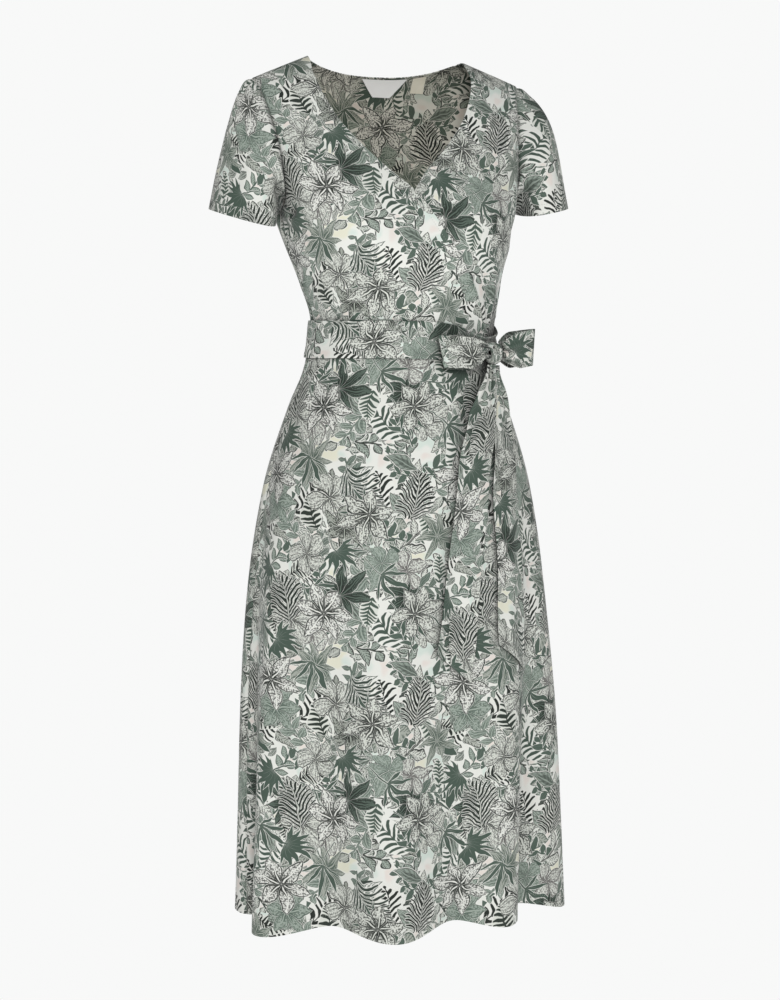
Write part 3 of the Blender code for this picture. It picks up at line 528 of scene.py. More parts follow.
def shares(lengths, count, start=(0.0,), end=(0.0,)):
    """Shares of each line's length: even steps between two edge strips, whose places
    are given in metres from the line's ends."""
    lengths = np.atleast_1d(lengths)[:, None]
    first = np.array(start)[None, :] / lengths
    last = 1 - np.array(end)[None, ::-1] / lengths
    inner = np.linspace(0, 1, count + 1)[None, 1:-1]
    return np.concatenate([first, first[:, -1:] + (last[:, :1] - first[:, -1:]) * inner, last], axis=1)


def between(first, last, share):
    """Places between two edges, one row for each of their values."""
    return first[:, None] + (last - first)[:, None] * share


def even(count, first=0, last=1):
    """Even steps between two values, as one row."""
    return np.linspace(first, last, count)[None, :]


def grid_normals(middle, closed=False):
    """Directions square to a grid of points."""
    if closed:
        round_ = np.roll(middle, -1, axis=1) - np.roll(middle, 1, axis=1)
    else:
        round_ = np.gradient(middle, axis=1)
    out = np.cross(np.gradient(middle, axis=0), round_)
    return out / (np.linalg.norm(out, axis=-1, keepdims=True) + 1e-12)


def facing(out, outwards):
    """These directions, all turned round if they point against outwards on the whole."""
    return out if (out * outwards).sum() > 0 else -out


def seam_dip(distance):
    """How far cloth sinks in beside a seam."""
    return -SEAM["deep"] * hump(distance, SEAM["wide"])


def underarm_dip(distance, drop):
    """How far cloth is drawn in under the arm, beside the lower end of the armhole."""
    near = hump(drop - ARMHOLE_DROP, UNDERARM_DRAWN["high"])
    return -UNDERARM_DRAWN["deep"] * near * hump(distance, UNDERARM_DRAWN["wide"])


def turned_edge(distance, deep):
    """(inner thickening, stitch groove) of an edge turned under by deep metres."""
    turned = FOLDED["thick"] * (1 - ease(distance, deep - FOLDED["before"], deep + FOLDED["after"]))
    return turned, GROOVE["deep"] * hump(distance - deep + STITCHED_IN, GROOVE["wide"])


def grain(turn, drop, straight, cut_at):
    """UV in metres at places on the form: round it from the straight grain, which is a
    line of one turn, and down it from the waist. cut_at is where in the print it starts."""
    turn, drop = np.broadcast_arrays(turn, drop)
    turns = np.linspace(min(turn.min(), straight), max(turn.max(), straight), GRAIN_LINES)
    roots = np.linspace(np.sqrt(drop.min()), np.sqrt(drop.max()), GRAIN_LINES)
    points = form(*np.meshgrid(turns, roots))
    u, v = steps(points, 1), steps(points, 0)
    u = u - np.array([np.interp(straight, turns, row) for row in u])[:, None]
    v = v - np.array([np.interp(np.sqrt(WAIST_DROP), roots, column) for column in v.T])[None, :]
    last = GRAIN_LINES - 1.001
    across = np.clip((turn - turns[0]) / (turns[1] - turns[0]), 0, last)
    down = np.clip((np.sqrt(drop) - roots[0]) / (roots[1] - roots[0]), 0, last)
    c, r = across.astype(int), down.astype(int)
    a, b = across - c, down - r
    uv = [
        (t[r, c] * (1 - a) + t[r, c + 1] * a) * (1 - b)
        + (t[r + 1, c] * (1 - a) + t[r + 1, c + 1] * a) * b
        for t in (u, v)
    ]
    return np.stack(uv, axis=-1) + cut_at


def strip_grain(middle, cut_at):
    """UV in metres on a strip of the belt: across it from its middle line, and along it."""
    across, along = steps(middle, 1), steps(middle, 0)
    halfway = along[:, [along.shape[1] // 2]]
    return np.stack([across - across[:, -1:] / 2, halfway + 0 * across], axis=-1) + cut_at


def shell(name, middle, out, uv, thick=CLOTH, outer=0.0, inner=0.0, closed=False):
    """One closed thin wall about a grid of points, rows by columns, with its two skins
    moved further apart by outer and inner. closed joins its last column to its first."""
    rows, columns = middle.shape[:2]
    outside = middle + out * np.broadcast_to(thick / 2 + outer, (rows, columns))[..., None]
    inside = middle - out * np.broadcast_to(thick / 2 + inner, (rows, columns))[..., None]
    ends = np.arange(columns if closed else columns - 1)
    r, c = (each.ravel() for each in np.meshgrid(np.arange(rows - 1), ends, indexing="ij"))
    skin = np.stack([r, c, r, c + 1, r + 1, c + 1, r + 1, c], axis=1).reshape(-1, 4, 2)
    rims = []
    for row, way in ((0, 1), (rows - 1, -1)):
        a = np.stack([0 * ends + row, ends], axis=1)
        b = a + (0, 1)
        rims.append(np.stack([b, a, a, b], axis=1)[:, ::way])
    if not closed:
        ends = np.arange(rows - 1)
        for column, way in ((0, 1), (columns - 1, -1)):
            a = np.stack([ends, 0 * ends + column], axis=1)
            b = a + (1, 0)
            rims.append(np.stack([a, b, b, a], axis=1)[:, ::way])
    corners = [np.concatenate([skin, 0 * skin[..., :1]], axis=-1)]
    corners.append(np.concatenate([skin[:, ::-1], 0 * skin[..., :1] + 1], axis=-1))
    for index, rim in enumerate(rims):
        low = (0, 0, 1, 1) if index % 2 == 0 else (1, 1, 0, 0)
        layer = np.broadcast_to(np.array(low)[None, :, None], rim.shape[:2] + (1,))
        corners.append(np.concatenate([rim, layer], axis=-1))
    corners = np.concatenate(corners)
    kinds = np.zeros(len(corners), int)
    kinds[len(skin):2 * len(skin)] = 1
    mid = (rows // 2, columns // 2)
    turning = np.cross(
        middle[mid[0], mid[1] + 1] - middle[mid], middle[mid[0] + 1, mid[1]] - middle[mid]
    ) @ out[mid]
    if turning < 0:
        corners = corners[:, ::-1]
    index = corners[..., 2] * rows * columns + corners[..., 0] * columns + corners[..., 1] % columns
    data = bpy.data.meshes.new(name + "_cloth")
    points = np.concatenate([outside.reshape(-1, 3), inside.reshape(-1, 3)])
    data.from_pydata(points.tolist(), [], index.tolist())
    data.polygons.foreach_set("material_index", kinds)
    layer = data.uv_layers.new(name="cloth")
    layer.data.foreach_set("uv", uv[corners[..., 0], corners[..., 1]].astype(np.float32).ravel())
    data.shade_smooth()
    data.set_sharp_from_angle(angle=np.radians(SHARP_FROM))
    made = bpy.data.objects.new(name + "_cloth", data)
    bpy.context.scene.collection.objects.link(made)
    return made


# ---------------------------------------------------------------- shader nodes
class Wire:
    """What comes out of a node. It can be reckoned with as a number is."""

    def __init__(self, socket):
        self.socket = socket


def put(value, socket):
    """Joins a wire to what goes into a node, or sets a plain value there."""
    if isinstance(value, Wire):
        socket.id_data.links.new(value.socket, socket)
    else:
        socket.default_value = value


def lay(kind, values, tree=None, **settings):
    """A new node with these values put into it, in the tree that they come from if no
    tree is given."""
    values = values if isinstance(values, dict) else dict(enumerate(values))
    tree = tree or next(each.socket.id_data for each in values.values() if isinstance(each, Wire))
    made = tree.nodes.new(kind)
    for key, value in settings.items():
        setattr(made, key, value)
    for key, value in values.items():
        put(value, made.inputs[key])
    return made


def maths(operation):
    """A function that lays one step of arithmetic."""
    def reckon(*values, clamp=False):
        return Wire(lay("ShaderNodeMath", values, operation=operation, use_clamp=clamp).outputs[0])
    return reckon


add, less, times, over, power, size_of = map(maths, (
    "ADD", "SUBTRACT", "MULTIPLY", "DIVIDE", "POWER", "ABSOLUTE"))
floor_of, part_of, nearest, sign_of, sin_of, cos_of, root_of = map(maths, (
    "FLOOR", "FRACT", "ROUND", "SIGN", "SINE", "COSINE", "SQRT"))
least, most, left_over, below, angle_of = map(maths, (
    "MINIMUM", "MAXIMUM", "FLOORED_MODULO", "LESS_THAN", "ARCTAN2"))
Wire.__abs__ = size_of
for name, sum_of in (("add", add), ("sub", less), ("mul", times), ("truediv", over), ("pow", power)):
    setattr(Wire, f"__{name}__", sum_of)
    setattr(Wire, f"__r{name}__", lambda self, other, sum_of=sum_of: sum_of(other, self))


def tint(colour, by):
    """A colour times three shares."""
    return Wire(lay("ShaderNodeVectorMath", (colour, by), operation="MULTIPLY").outputs[0])


def noise(scale, detail=1.0, dimensions="2D", **values):
    """(value, colour) of a smooth noise."""
    values = {"Scale": scale, "Detail": detail, **values}
    made = lay("ShaderNodeTexNoise", values, noise_dimensions=dimensions)
    return Wire(made.outputs[0]), Wire(made.outputs["Color"])


def soft(value, low, high):
    """0 below low, 1 above high, and smooth between them."""
    return Wire(lay("ShaderNodeMapRange", (value, low, high), interpolation_type="SMOOTHSTEP").outputs[0])


def parts(value, kind="XYZ"):
    """The three parts of a vector, or of a colour."""
    return [Wire(each) for each in lay("ShaderNodeSeparate" + kind, (value,)).outputs]


def join(x, y, z):
    return Wire(lay("ShaderNodeCombineXYZ", (x, y, z)).outputs[0])


def mix(share, first, second):
    """A colour between two others."""
    return Wire(lay("ShaderNodeMix", {0: share, 6: first, 7: second}, data_type="RGBA").outputs[2])


def chance(key):
    """Four even random numbers from 0 to 1 that go with a key."""
    made = lay("ShaderNodeTexWhiteNoise", {"W": key}, noise_dimensions="1D")
    return [*parts(Wire(made.outputs["Color"]), "Color"), Wire(made.outputs["Value"])]


def use(group, **values):
    """Places a group, and gives what comes out of it by name."""
    return {each.name: Wire(each) for each in lay("ShaderNodeGroup", values, node_tree=group).outputs}


def shader_group(make):
    """A group made by a function: what the function takes, with its usual values, comes
    in, and what it returns by name goes out."""
    tree = bpy.data.node_groups.new(make.__name__, "ShaderNodeTree")
    takes = {key: given.default for key, given in signature(make).parameters.items()}
    for key, usual in takes.items():
        kind = {1: "Float", 3: "Vector", 4: "Color"}[np.size(usual)]
        socket = tree.interface.new_socket(name=key, in_out="INPUT", socket_type="NodeSocket" + kind)
        socket.default_value = usual
    came = tree.nodes.new("NodeGroupInput")
    went = tree.nodes.new("NodeGroupOutput")
    for key, value in make(**{key: Wire(came.outputs[key]) for key in takes}).items():
        kind = "Color" if value.socket.type == "RGBA" else "Float"
        tree.interface.new_socket(name=key, in_out="OUTPUT", socket_type="NodeSocket" + kind)
        put(value, went.inputs[key])
    return tree


# ---------------------------------------------------------------- the print's motifs
ONE_TURN = 6.2832
COLUMN_RISES = 0.382          # how much higher each column of cells starts, in cells
SEED_RISES = 0.17             # and how much higher the whole layout does for each seed
# These only scramble a cell's column, row and seed into its key, and one chance into others.
BY_COLUMN, BY_ROW, BY_SEED = 7.1, 1.3, 61.7
PICK_FROM_SPIN, TONE_FROM_SPIN = 97.3, 31.7
THIN = 0.0001                 # no leaf is taken as narrower than this
LEAFLETS_SWEEP = 30.0         # how the leaflets of a cut leaf bend on towards its tip
LEAFLETS_NARROW = 0.55        # the share of its width that each has lost at its end


@shader_group
def scattered(X=0.0, Y=0.0, Cell=0.1, Cells=3.0, Seed=0.0, Stray=0.3, Smallest=0.8, Largest=1.1):
    """One motif to a cell: the cells repeat with the print, each column of them starts at
    its own height, and each cell holds its motif at its own turn, size and place."""
    along, up = X / Cell, Y / Cell
    column = floor_of(along)
    same_column = left_over(column, Cells)
    up = up + part_of(same_column * COLUMN_RISES + Seed * SEED_RISES)
    row = floor_of(up)
    key = same_column * BY_COLUMN + left_over(row, Cells) * BY_ROW + Seed * BY_SEED
    right, high, larger, spin = chance(key)
    pick, tone = part_of(spin * PICK_FROM_SPIN), part_of(spin * TONE_FROM_SPIN)
    scale = Cell / (Smallest + (Largest - Smallest) * larger)
    x = (along - column - 0.5 - (right - 0.5) * Stray) * scale
    y = (up - row - 0.5 - (high - 0.5) * Stray) * scale
    cosine, sine = cos_of(spin * ONE_TURN), sin_of(spin * ONE_TURN)
    return dict(X=x * cosine - y * sine, Y=x * sine + y * cosine, Pick=pick, Tone=tone)


@shader_group
def leaf_outline(Along=0.5, Width=0.01, Base=1.0, Tip=1.0):
    """Half width of a leaf or petal along its length, 0 at both ends and less beyond them."""
    along = add(Along, 0.0, clamp=True)
    widest = Base / (Base + Tip)
    rise = (along / widest) ** Base
    fall = ((1.0 - along) / (1.0 - widest)) ** Tip
    beyond = abs(Along - along)
    return dict(Half=Width * (rise * fall - beyond * 3.0))


@shader_group
def ring_of_petals(
    X=0.0, Y=0.0, Count=6.0, Length=0.034, Width=0.01, Base=1.0, Tip=1.0, Bend=0.0, Uneven=0.08,
):
    """A ring of petals or leaves: how deep inside one a place lies, and where on it."""
    out = root_of(X * X + Y * Y)
    angle = angle_of(Y, X)
    sector = ONE_TURN / Count
    number = nearest(angle / sector)
    angle = angle - number * sector
    length = Length * (1.0 + Uneven * sin_of(number * 2.4 + 1.0))
    along = out * cos_of(angle) / length
    off = abs(out * sin_of(angle) - Bend * along * along * length)
    half = use(leaf_outline, Along=along, Width=Width, Base=Base, Tip=Tip)["Half"]
    border = out * sin_of(sector * 0.5 - abs(angle))
    inside = least(half - off, border)
    across = off / most(half, THIN)
    return dict(Inside=inside, Along=along, Across=across, Off=off)


@shader_group
def drawn_petal(
    Inside=0.0, Along=0.5, Across=0.5, Off=0.001, Edge=0.0008, Veins=4.0, Bars=0.0, Veined=0.6,
    Wedge=0.8, Reach=0.55, Rib=0.0007, Mottle=0.5, Fleck=0.5, Flecked=0.0,
):
    """How a petal or leaf is drawn, from 0 for the dark ink to 1 for its light fill: a
    dark edge, veins from end to end that bars turn aslant, flecks, a dark wedge at its
    base and a light rib."""
    edge = soft(Inside, Edge * 0.6, Edge * 1.4)
    lines = Across * Veins + Along * Bars
    stripe = abs(part_of(lines) - 0.5) * 2.0
    vein = 1.0 - Veined * soft(stripe + (Mottle - 0.5) * 1.6, 0.46, 0.74)
    vein = vein * (1.0 - Flecked * soft(Fleck, 0.50, 0.58))
    reach = 0.75 * (1.0 - Along / Reach)
    wedge = 1.0 - Wedge * soft(reach - Across, -0.05, 0.12)
    rib = soft(Off, Rib * 1.3, Rib * 0.7)
    shade = most(edge * vein * wedge, rib * edge)
    return dict(Shade=shade)


@shader_group
def feathered_leaf(
    X=0.0, Y=0.0, Length=0.055, Width=0.014, Base=0.6, Tip=0.8, Pitch=0.006, Slant=0.8, Gap=0.4,
    Rib=0.0008, Bend=5.0,
):
    """A long leaf with a bent rib: inside it, and inside the leaflets that it is cut into."""
    along = X / Length + 0.5
    off = abs(Y + Bend * X * X - Bend * 0.0002)
    half = use(leaf_outline, Along=along, Width=Width, Base=Base, Tip=Tip)["Half"]
    across = off / most(half, THIN)
    phase = abs(part_of((X - Slant * off + LEAFLETS_SWEEP * off * off) / Pitch) - 0.5)
    open_ = (1.0 - Gap) * (1.0 - LEAFLETS_NARROW * across * across) * 0.5
    strip = (open_ - phase) * Pitch * 0.8
    leaflet = least(half - off, most(strip, Rib - off))
    return dict(Leaf=half - off, Leaflet=leaflet, Along=along, Across=across, Off=off)


@shader_group
def fan_palm(X=0.0, Y=0.0, Fingers=24.0, Length=0.032, Spread=1.9, Parting=0.38):
    """A fan palm: pointed fingers that part some way out from its stalk."""
    out = root_of(X * X + Y * Y)
    angle = angle_of(Y, X)
    share = angle / Spread
    uneven = 1.0 + 0.09 * sin_of(angle * 7.3 + 0.6)
    along = out / (Length * uneven * (1.0 - 0.32 * share * share))
    finger = abs(part_of(angle * Fingers / ONE_TURN + 0.5) - 0.5)
    apart = less(along, Parting, clamp=True) / (1.0 - Parting)
    width = 0.56 - 0.56 * apart ** 0.6
    inside = (width - finger) * out * ONE_TURN / Fingers
    side = (Spread - abs(angle)) * out
    leaf = least(least(inside, side), (1.0 - along) * 0.01)
    stalk = least(0.0009 - abs(Y + 9.0 * X * X), (X + Length * 0.75) * 0.5)
    stalk = least(stalk, 0.003 - X)
    return dict(Inside=most(leaf, stalk), Along=along, Finger=finger)


@shader_group
def leafy_sprig(
    X=0.0, Y=0.0, Length=0.07, Pitch=0.014, Leaf=0.019, Width=0.0048, Lean=0.9, Stem=0.0009, Bend=6.0,
):
    """A bent stem with leaves that stand off it by turns to each side."""
    y = Y + Bend * X * X - Bend * 0.0003
    side = sign_of(y)
    place = X / Pitch + 0.25 * side
    root = (floor_of(place) - 0.25 * side) * Pitch
    lean, high = X - root, abs(y)
    cosine, sine = cos_of(Lean), sin_of(Lean)
    run, off = lean * cosine + high * sine, abs(high * cosine - lean * sine)
    shrink = 1.0 - 0.9 * abs(root / Length + 0.05)
    along = run / (Leaf * shrink)
    half = use(leaf_outline, Along=along, Width=Width * shrink, Base=0.85, Tip=1.05)["Half"]
    end = Length * 0.5 - abs(X)
    stem = least(Stem - high, end)
    near = least(half - off, Length * 0.5 - abs(root))
    across = off / most(half, THIN)
    return dict(Inside=most(near, stem), Along=along, Across=across, Off=off)


@shader_group
def drawn_by_hand(Place=(0.0, 0.0, 0.0), Drift=0.008, Fine=620.0, Coarse=430.0):
    """Lets the drawing drift as a hand does, with two grounds of grain to break its lines."""
    x, y, _ = parts(Place)
    _, wander = noise(42.0, 2.0, Vector=Place)
    right, up, _ = parts(wander, "Color")
    mottle, fleck = (noise(scale, Vector=Place)[0] for scale in (Fine, Coarse))
    return dict(X=x + (right - 0.5) * Drift, Y=y + (up - 0.5) * Drift, Mottle=mottle, Fleck=fleck)


@shader_group
def printed_over(
    Under=(1.0, 1.0, 1.0, 1.0), Inside=0.0, Shade=0.5, Show=1.0, Halo=0.0007, Dark=(0.1, 0.1, 0.1, 1.0),
    Light=(0.8, 0.8, 0.8, 1.0), Pale=(0.85, 0.84, 0.81, 1.0),
):
    """Prints one motif over what is there already, with a thin pale halo round it."""
    ring = soft(Inside, Halo * -1.4, Halo * -0.6) * Show
    body = soft(Inside, -0.0001, 0.0003) * Show
    drawn = mix(Shade, Dark, Light)
    under = mix(ring, Under, Pale)
    return dict(Colour=mix(body, under, drawn))


@shader_group
def washed_ground(
    X=0.0, Y=0.0, Repeat=0.26, Ground=(0.88, 0.87, 0.84, 1.0), Blush=(0.86, 0.75, 0.71, 1.0),
    Mint=(0.72, 0.81, 0.75, 1.0), Straw=(0.86, 0.83, 0.66, 1.0),
):
    """The pale ground, washed here and there with blush, mint and straw. The wash also
    pulls the drawing that is printed over it a little way."""
    turn_x, turn_y = X * ONE_TURN / Repeat, Y * ONE_TURN / Repeat
    ring = join(cos_of(turn_x), sin_of(turn_x), cos_of(turn_y))
    colour = Ground
    for wash, seed, low, high in (
        (Blush, 0.0, 0.52, 0.60), (Mint, 7.0, 0.53, 0.62), (Straw, 13.0, 0.57, 0.65),
    ):
        moved = lay("ShaderNodeVectorMath", (ring, (seed, seed * 0.7, -seed)), operation="ADD")
        share, _ = noise(1.15, dimensions="4D", Vector=Wire(moved.outputs[0]), W=sin_of(turn_y))
        colour = mix(soft(share, low, high), colour, wash)
    pull = (share - 0.5) * 0.02
    return dict(Colour=colour, X=X + pull, Y=Y - pull)


def ink(red, green, blue):
    """A colour from its everyday 0 to 255 values."""
    value = np.array([red, green, blue]) / 255
    return (*np.where(value > 0.04045, ((value + 0.055) / 1.055) ** 2.4, value / 12.92).tolist(), 1.0)


REPEAT = 0.26
INK = {
    "green": ink(74, 90, 80), "charcoal": ink(38, 44, 39), "mist": ink(160, 171, 161),
    "grey": ink(167, 172, 163), "pale": ink(218, 221, 213), "ground": ink(230, 231, 225),
    "blush": ink(228, 220, 213), "mint": ink(213, 224, 216), "straw": ink(226, 225, 206),
    "mauve": ink(84, 81, 80), "sage": ink(89, 104, 94),
}


@shader_group
def botanical_print(Place=(0.0, 0.0, 0.0)):
    """The whole print: leaves at the bottom, then palms, then flowers."""
    hand = use(drawn_by_hand, Place=Place)
    washed = use(washed_ground, X=hand["X"], Y=hand["Y"], Repeat=REPEAT, Ground=INK["ground"],
                 Blush=INK["blush"], Mint=INK["mint"], Straw=INK["straw"])
    colour = washed["Colour"]

    def between_inks(tone, pair):
        one, other = pair
        return one if one == other else mix(soft(tone, 0.35, 0.65), one, other)

    def motifs(kind, count, seed, shift, share, dark, light, drawing, spread, edge="Inside", halo=0.0006,
               across=False, **shape):
        """Prints one motif of a kind in a share of the cells, count of them to a repeat.
        dark and light are pairs of inks to choose between, drawing says how it is drawn,
        and spread how far it strays and its smallest and largest size."""
        nonlocal colour
        x, y = (washed["Y"], washed["X"]) if across else (washed["X"], washed["Y"])
        stray, smallest, largest = spread
        spot = use(scattered, X=x + shift[0], Y=y + shift[1], Cell=REPEAT / count, Cells=float(count),
                   Seed=float(seed), Stray=stray, Smallest=smallest, Largest=largest)
        show = below(spot["Pick"], share)
        leaf = use(kind, X=spot["X"], Y=spot["Y"], **shape)
        if callable(drawing):
            shade = drawing(leaf)
        else:
            shade = use(drawn_petal, Inside=leaf[edge], Along=leaf["Along"], Across=leaf["Across"],
                        Off=leaf["Off"], Mottle=hand["Mottle"], Fleck=hand["Fleck"], **drawing)["Shade"]
        dark, light = (between_inks(spot["Tone"], pair) for pair in (dark, light))
        colour = use(printed_over, Under=colour, Inside=leaf[edge], Shade=shade, Show=show, Dark=dark,
                     Light=light, Pale=INK["ground"], Halo=halo)["Colour"]

    def comb(leaf):
        return soft(leaf["Leaflet"], 0.0004, 0.0)

    def light_rib(leaf):
        return soft(leaf["Off"], 0.0007, 0.0003) * 0.8

    def light_fingers(leaf):
        return soft(leaf["Finger"], 0.06, 0.03) * soft(leaf["Along"], 0.5, 0.2) * 0.25

    sprigs = partial(motifs, leafy_sprig, spread=(0.35, 0.85, 1.15))
    blades = partial(motifs, feathered_leaf, edge="Leaf", spread=(0.35, 0.80, 1.15))
    combs = partial(blades, drawing=comb)
    palms = partial(motifs, feathered_leaf, edge="Leaflet", drawing=light_rib, spread=(0.35, 0.80, 1.10),
                    halo=0.0004)
    fans = partial(motifs, fan_palm, drawing=light_fingers, spread=(0.30, 0.80, 1.12), halo=0.0004)
    flowers = partial(motifs, ring_of_petals, halo=0.0003)
    green, charcoal, grey, pale = INK["green"], INK["charcoal"], INK["grey"], INK["pale"]
    sage, mist, mauve, bare = INK["sage"], INK["mist"], INK["mauve"], INK["ground"]
    hatched = dict(Edge=0.0012, Veins=-1.6, Bars=7.0, Veined=0.75, Wedge=0.0, Rib=0.0006)
    ribbed = dict(Edge=0.0007, Veins=-1.4, Bars=5.0, Veined=0.5, Wedge=0.6, Reach=1.4, Rib=0.0006)
    barred = dict(Edge=0.0010, Veins=-1.8, Bars=8.0, Veined=0.8, Wedge=0.3, Reach=0.8, Rib=0.0005)
    wedged = dict(Edge=0.0006, Veins=1.6, Veined=0.8, Wedge=0.9, Reach=0.9, Rib=0.0007, Flecked=0.3)
    flecked = dict(Edge=0.0012, Veins=2.6, Veined=0.6, Wedge=0.8, Reach=0.5, Rib=0.0004, Flecked=0.6)
    veined = dict(Edge=0.0012, Veins=3.2, Veined=0.55, Wedge=0.9, Reach=0.45, Rib=0.0006, Flecked=0.55)
    starred = dict(Edge=0.0014, Veins=2.0, Veined=0.35, Wedge=0.95, Reach=0.62, Rib=0.0008, Flecked=0.80)
    lily = dict(Count=6.0, Length=0.038, Width=0.0094, Base=1.0, Tip=0.90, Bend=0.09)

    sprigs(5, 31, (0.017, 0.029), 1.0, (charcoal, green), (pale, mist), hatched,
           Length=0.052, Leaf=0.019, Width=0.0050, Pitch=0.013, Stem=0.0010, Bend=9.0)
    sprigs(5, 37, (0.041, 0.003), 1.0, (green, charcoal), (sage, pale), ribbed, across=True,
           Length=0.050, Leaf=0.021, Width=0.0056, Pitch=0.015, Stem=0.0010, Bend=7.0)
    sprigs(4, 43, (0.013, 0.052), 1.0, (charcoal, green), (mist, pale), hatched,
           Length=0.058, Leaf=0.022, Width=0.0058, Pitch=0.016, Stem=0.0012, Bend=8.0)
    sprigs(2, 21, (0.031, 0.010), 1.0, (charcoal, green), (pale, grey), hatched, across=True,
           spread=(0.12, 0.85, 1.15), Length=0.108, Leaf=0.037, Width=0.0088, Pitch=0.030, Stem=0.0019,
           Bend=6.0)
    sprigs(3, 1, (0.011, 0.023), 1.0, (charcoal, charcoal), (pale, grey), hatched,
           Length=0.080, Leaf=0.028, Width=0.0066, Pitch=0.019, Stem=0.0014, Bend=8.0)
    blades(4, 11, (0.033, 0.017), 0.90, (charcoal, green), (pale, bare), barred, across=True,
           Length=0.050, Width=0.0078, Base=0.9, Tip=1.1, Bend=7.0)
    combs(3, 2, (0.050, 0.008), 1.0, (charcoal, green), (bare, bare),
          Length=0.056, Width=0.0170, Pitch=0.0074, Gap=0.34, Slant=1.0)
    sprigs(4, 3, (0.030, 0.044), 0.90, (green, green), (sage, mist), ribbed, across=True,
           Leaf=0.022, Width=0.0052, Length=0.056, Pitch=0.014, Lean=0.9, Stem=0.0011)
    blades(4, 5, (0.021, 0.002), 0.90, (green, charcoal), (green, mist), ribbed,
           Length=0.040, Width=0.0072, Base=0.9, Tip=1.1, Bend=4.0)
    combs(4, 12, (0.048, 0.040), 0.80, (green, charcoal), (pale, pale), across=True,
          Length=0.040, Width=0.0110, Gap=0.22, Pitch=0.0056, Slant=0.8, Bend=3.0)
    flowers(3, 7, (0.066, 0.033), 0.75, (charcoal, green), (sage, grey), wedged, (0.30, 0.80, 1.10),
            across=True, Count=7.0, Length=0.035, Width=0.0062, Base=0.8, Tip=1.1, Bend=0.14, Uneven=0.2)
    flowers(4, 8, (0.008, 0.019), 0.34, (mauve, charcoal), (pale, mist), flecked, (0.30, 0.80, 1.15),
            Count=5.0, Length=0.024, Width=0.0088, Base=1.1, Tip=0.5, Bend=0.10)
    flowers(3, 9, (0.025, 0.071), 0.60, (sage, charcoal), (mist, pale), veined, (0.28, 0.80, 1.10),
            across=True, Count=5.0, Length=0.029, Width=0.0115, Base=1.1, Tip=0.42, Bend=0.12, Uneven=0.14)
    palms(3, 4, (0.004, 0.061), 0.45, (green, charcoal), (pale, pale),
          Length=0.066, Width=0.024, Pitch=0.0060, Slant=1.5, Gap=0.34, Rib=0.0012, Bend=7.0)
    flowers(2, 14, (0.118, 0.084), 0.80, (charcoal, sage), (grey, mist), starred, (0.60, 0.75, 1.00), **lily)
    fans(3, 6, (0.037, 0.051), 0.70, (green, green), (pale, pale),
         Fingers=17.0, Length=0.038, Spread=1.75, Parting=0.46)
    fans(3, 16, (0.071, 0.022), 0.50, (green, green), (pale, pale),
         Fingers=11.0, Length=0.044, Spread=1.30, Parting=0.12)
    flowers(2, 10, (0.047, 0.013), 0.90, (charcoal, charcoal), (pale, bare), starred, (0.60, 0.82, 1.05),
            across=True, **lily)
    return dict(Colour=colour)


@shader_group
def crepe_weave(Place=(0.0, 0.0, 0.0), Grain=2600.0, Rumple=55.0):
    """Height of the crepe's pebbled grain, with its slight unevenness."""
    fine, _ = noise(Grain, Vector=Place)
    slow, _ = noise(Rumple, 2.0, Vector=Place)
    return dict(Height=fine * 0.12 + slow)


def new_material(name, values):
    """A material, its node tree, and its shader with these values on it."""
    made = bpy.data.materials.new(name)
    made.use_nodes = True
    shader = made.node_tree.nodes["Principled BSDF"]
    for key, value in values.items():
        shader.inputs[key].default_value = value
    return made, made.node_tree, shader


def raise_surface(shader, height, strength, distance):
    bump = lay("ShaderNodeBump", {"Height": height, "Strength": strength, "Distance": distance})
    put(Wire(bump.outputs[0]), shader.inputs["Normal"])


HOLLOWS_DARKEN = 0.85
WRONG_SIDE_TINT = (0.79, 0.76, 0.70)


def cloth_material(name, make, reach):
    """A material that reads its piece's own UV map. make gives its colour and its weave's
    height. It darkens in hollows, where other cloth lies nearer than reach."""
    made, tree, shader = new_material(name, {
        "Roughness": 0.82, "Specular IOR Level": 0.30, "Sheen Weight": 0.10, "Sheen Roughness": 0.5,
    })
    place = Wire(lay("ShaderNodeUVMap", (), tree, uv_map="cloth").outputs[0])
    colour, height = make(place)
    hollow = lay("ShaderNodeAmbientOcclusion", {"Distance": reach}, tree, samples=6)
    light = 1.0 - HOLLOWS_DARKEN * (1.0 - Wire(hollow.outputs["AO"]))
    put(tint(colour, join(light, light, light)), shader.inputs["Base Color"])
    raise_surface(shader, height, strength=0.35, distance=0.0006)
    return made


def right_side(place):
    return use(botanical_print, Place=place)["Colour"], use(crepe_weave, Place=place)["Height"]


def wrong_side(place):
    """The print shows duller and warmer on the inside of the cloth."""
    colour, height = right_side(place)
    return tint(colour, WRONG_SIDE_TINT), height


def woven_label(dark, light, grain_scale):
    """A plain woven cloth between two shades."""
    def make(place):
        shade = use(crepe_weave, Place=place)["Height"]
        return mix(shade, dark, light), use(crepe_weave, Place=place, Grain=grain_scale)["Height"]
    return make


CREPE = cloth_material("printed_crepe", right_side, reach=0.035)
CREPE_INSIDE = cloth_material("printed_crepe_inside", wrong_side, reach=0.070)
SATIN = cloth_material(
    "label_satin", woven_label(ink(246, 245, 241), ink(253, 252, 249), grain_scale=3400.0), reach=0.003)
COTTON = cloth_material(
    "tab_cotton", woven_label(ink(222, 216, 196), ink(238, 232, 214), grain_scale=2200.0), reach=0.003)


def wear(piece, node, held, rests_on=(), sewn=(), cloth=(CREPE, CREPE_INSIDE), slot="printed_cloth"):
    """Puts a piece in its node's place, in its cloth's two sides, and states the sheet
    that it is cut from."""
    for side in cloth:
        piece.data.materials.append(side)
    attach(piece, "root")
    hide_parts(node)
    width, length, area = CUT[node]


